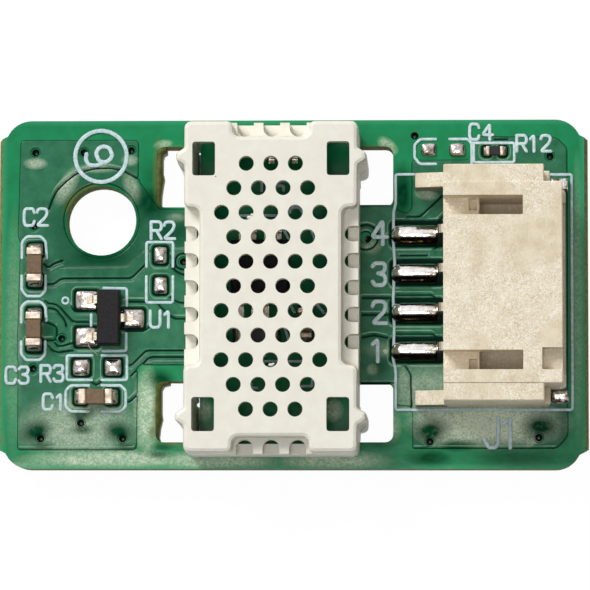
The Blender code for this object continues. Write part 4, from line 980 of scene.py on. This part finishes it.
mound_finish = mottled_finish("bright_pad_solder", (0.17, 1.0), (222, 216, 210), (140, 130, 120), 2.8, 2.8,
                              (4.0, 0.025, 3.0))
for name in named(("transistor_pad", "solder_bump")):
    low, high = corners_of(name)
    mound = dome(low.xy, high.xy, BUMP_CROWN if name.startswith("solder") else PAD_CROWN)
    set_on_board(mound, 0.035, 2.2, 3.0 + low.x)
    new_name = name.replace("_pad_", "_solder_").replace("bump", "mound")
    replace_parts(plain_piece(new_name, mound, mound_finish), name)
tin_finish = mottled_finish("bright_tin", (0.2, 1.0), (222, 212, 196), (184, 168, 146), 2.0, 2.2,
                            (6.0, 0.006))
tab_finish = mottled_finish("soldered_tab", (0.2, 1.0), (244, 240, 236), (92, 66, 42), 2.6, 5.0,
                            (4.0, 0.02, 3.0))
put_on(named(METAL), tin_finish)
put_on(named("hold_down_tab"), tab_finish)
soften_edges(named(METAL), METAL_ROUNDING)


# The chips are brown ceramic capacitors and black glazed resistors between silvered ends, and each
# end stands in a small fillet of solder on its pad.
END_SHARE, END_ROUNDING = 0.6, 0.07   # share of the end's length that stands up; the rest is fillet
FILLET_SHARE = END_SHARE * 0.8        # the fillet's middle, as a share of the end's length
FILLET_SPREAD, FILLET_RISE = 0.01, 0.6
BODY_ROUNDING = 0.04
end_finish = mottled_finish("silvered_end", (0.36, 0.7), (222, 206, 188), (162, 146, 130), 4.0, 3.0,
                            (8.0, 0.012, 3.0))
fillet_finish = mottled_finish("dull_solder", (0.24, 1.0), (178, 173, 160), (122, 117, 104), 5.0, 2.6,
                               (6.0, 0.015, 3.0))
ceramic_finish = mottled_finish("brown_ceramic", (0.42, 0.0, 0.3), (122, 98, 72), (98, 74, 54), 6.0, 2.4,
                                (14.0, 0.006))
glaze_finish = mottled_finish("black_resistor_glaze", (0.3, 0.0, 0.3), (20, 19, 20), (34, 31, 32), 8.0, 2.0,
                              (14.0, 0.004))
epoxy_finish = mottled_finish("black_moulding_compound", (0.6, 0.0, 0.2), (14, 12, 14), (32, 28, 31), 10.0,
                              3.0, (12.0, 0.014, 3.0))
put_on(named("capacitor", "body"), ceramic_finish)
put_on(named("resistor", "body"), glaze_finish)
put_on(["transistor_body", "signal_chip_body"], epoxy_finish)
soften_edges(named("", "body"), BODY_ROUNDING)
for name in named("", ("_end_a", "_end_b")):
    low, high = corners_of(name)
    middle, size = (low + high) / 2, high - low
    body_low, body_high = corners_of(name[:-5] + "body")
    outward = (middle - (body_low + body_high) / 2).xy.normalized()
    along = Vector((abs(round(outward.x)), abs(round(outward.y))))
    across = along.yx
    length, width = size.xy.dot(along), size.xy.dot(across)
    sense = 1 if outward.dot(along) > 0 else -1
    inner = (low if sense > 0 else high).xy.dot(along) * along + middle.xy.dot(across) * across
    end_middle = inner + along * sense * length * END_SHARE / 2
    shape = bmesh.new()
    bmesh.ops.create_cube(shape, size=1.0)
    bmesh.ops.scale(shape, vec=(*(along * length * END_SHARE + across * width), size.z), verts=shape.verts)
    bmesh.ops.bevel(shape, geom=shape.edges[:], offset=END_ROUNDING, offset_type="OFFSET", segments=3,
                    profile=0.5, affect="EDGES", material=-1)
    bmesh.ops.translate(shape, vec=(*end_middle, middle.z), verts=shape.verts)
    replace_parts(plain_piece(name.replace("end", "silvered_end"), shape, end_finish), name)
    tip = inner + along * sense * length * FILLET_SHARE
    half = along * length * (1 - FILLET_SHARE) + across * (width / 2 + FILLET_SPREAD)
    fillet = dome(tip - half, tip + half, (high.z - BOARD_TOP) * FILLET_RISE, 0.75, 0.8)
    set_on_board(fillet, 0.015, 2.6, 5.0 + tip.x)
    plain_piece(f"{name}_fillet", fillet, fillet_finish)


# A fine plastic fibre has stuck to the lower left pad of the transistor.
FIBRE_LINE = [(84, 337), (88, 340), (91, 349), (95, 352), (99, 356)]
FIBRE_WIDTH, FIBRE_LEVEL = 0.035, BOARD_TOP + PAD_CROWN + 0.02
fibre_finish = mottled_finish("pale_fibre", (0.6,), (196, 188, 172), (150, 140, 124), 6.0, 2.0)
fibre_path = softened([spot(*point) for point in FIBRE_LINE], LINE_ROUNDING)
plain_piece("stray_fibre", swept(fibre_path, FIBRE_WIDTH, FIBRE_WIDTH, FIBRE_LEVEL), fibre_finish)


# The sensing element under the cap: a white ceramic plate with a dark film.
plate_finish = mottled_finish("white_alumina", (0.5,), (232, 230, 222), (222, 220, 210), 4.0, 1.5)
film_finish = mottled_finish("sensing_film", (0.5,), (70, 62, 50), (84, 76, 62), 5.0, 1.5)
put_on(["humidity_plate"], plate_finish)
put_on(["humidity_film"], film_finish)
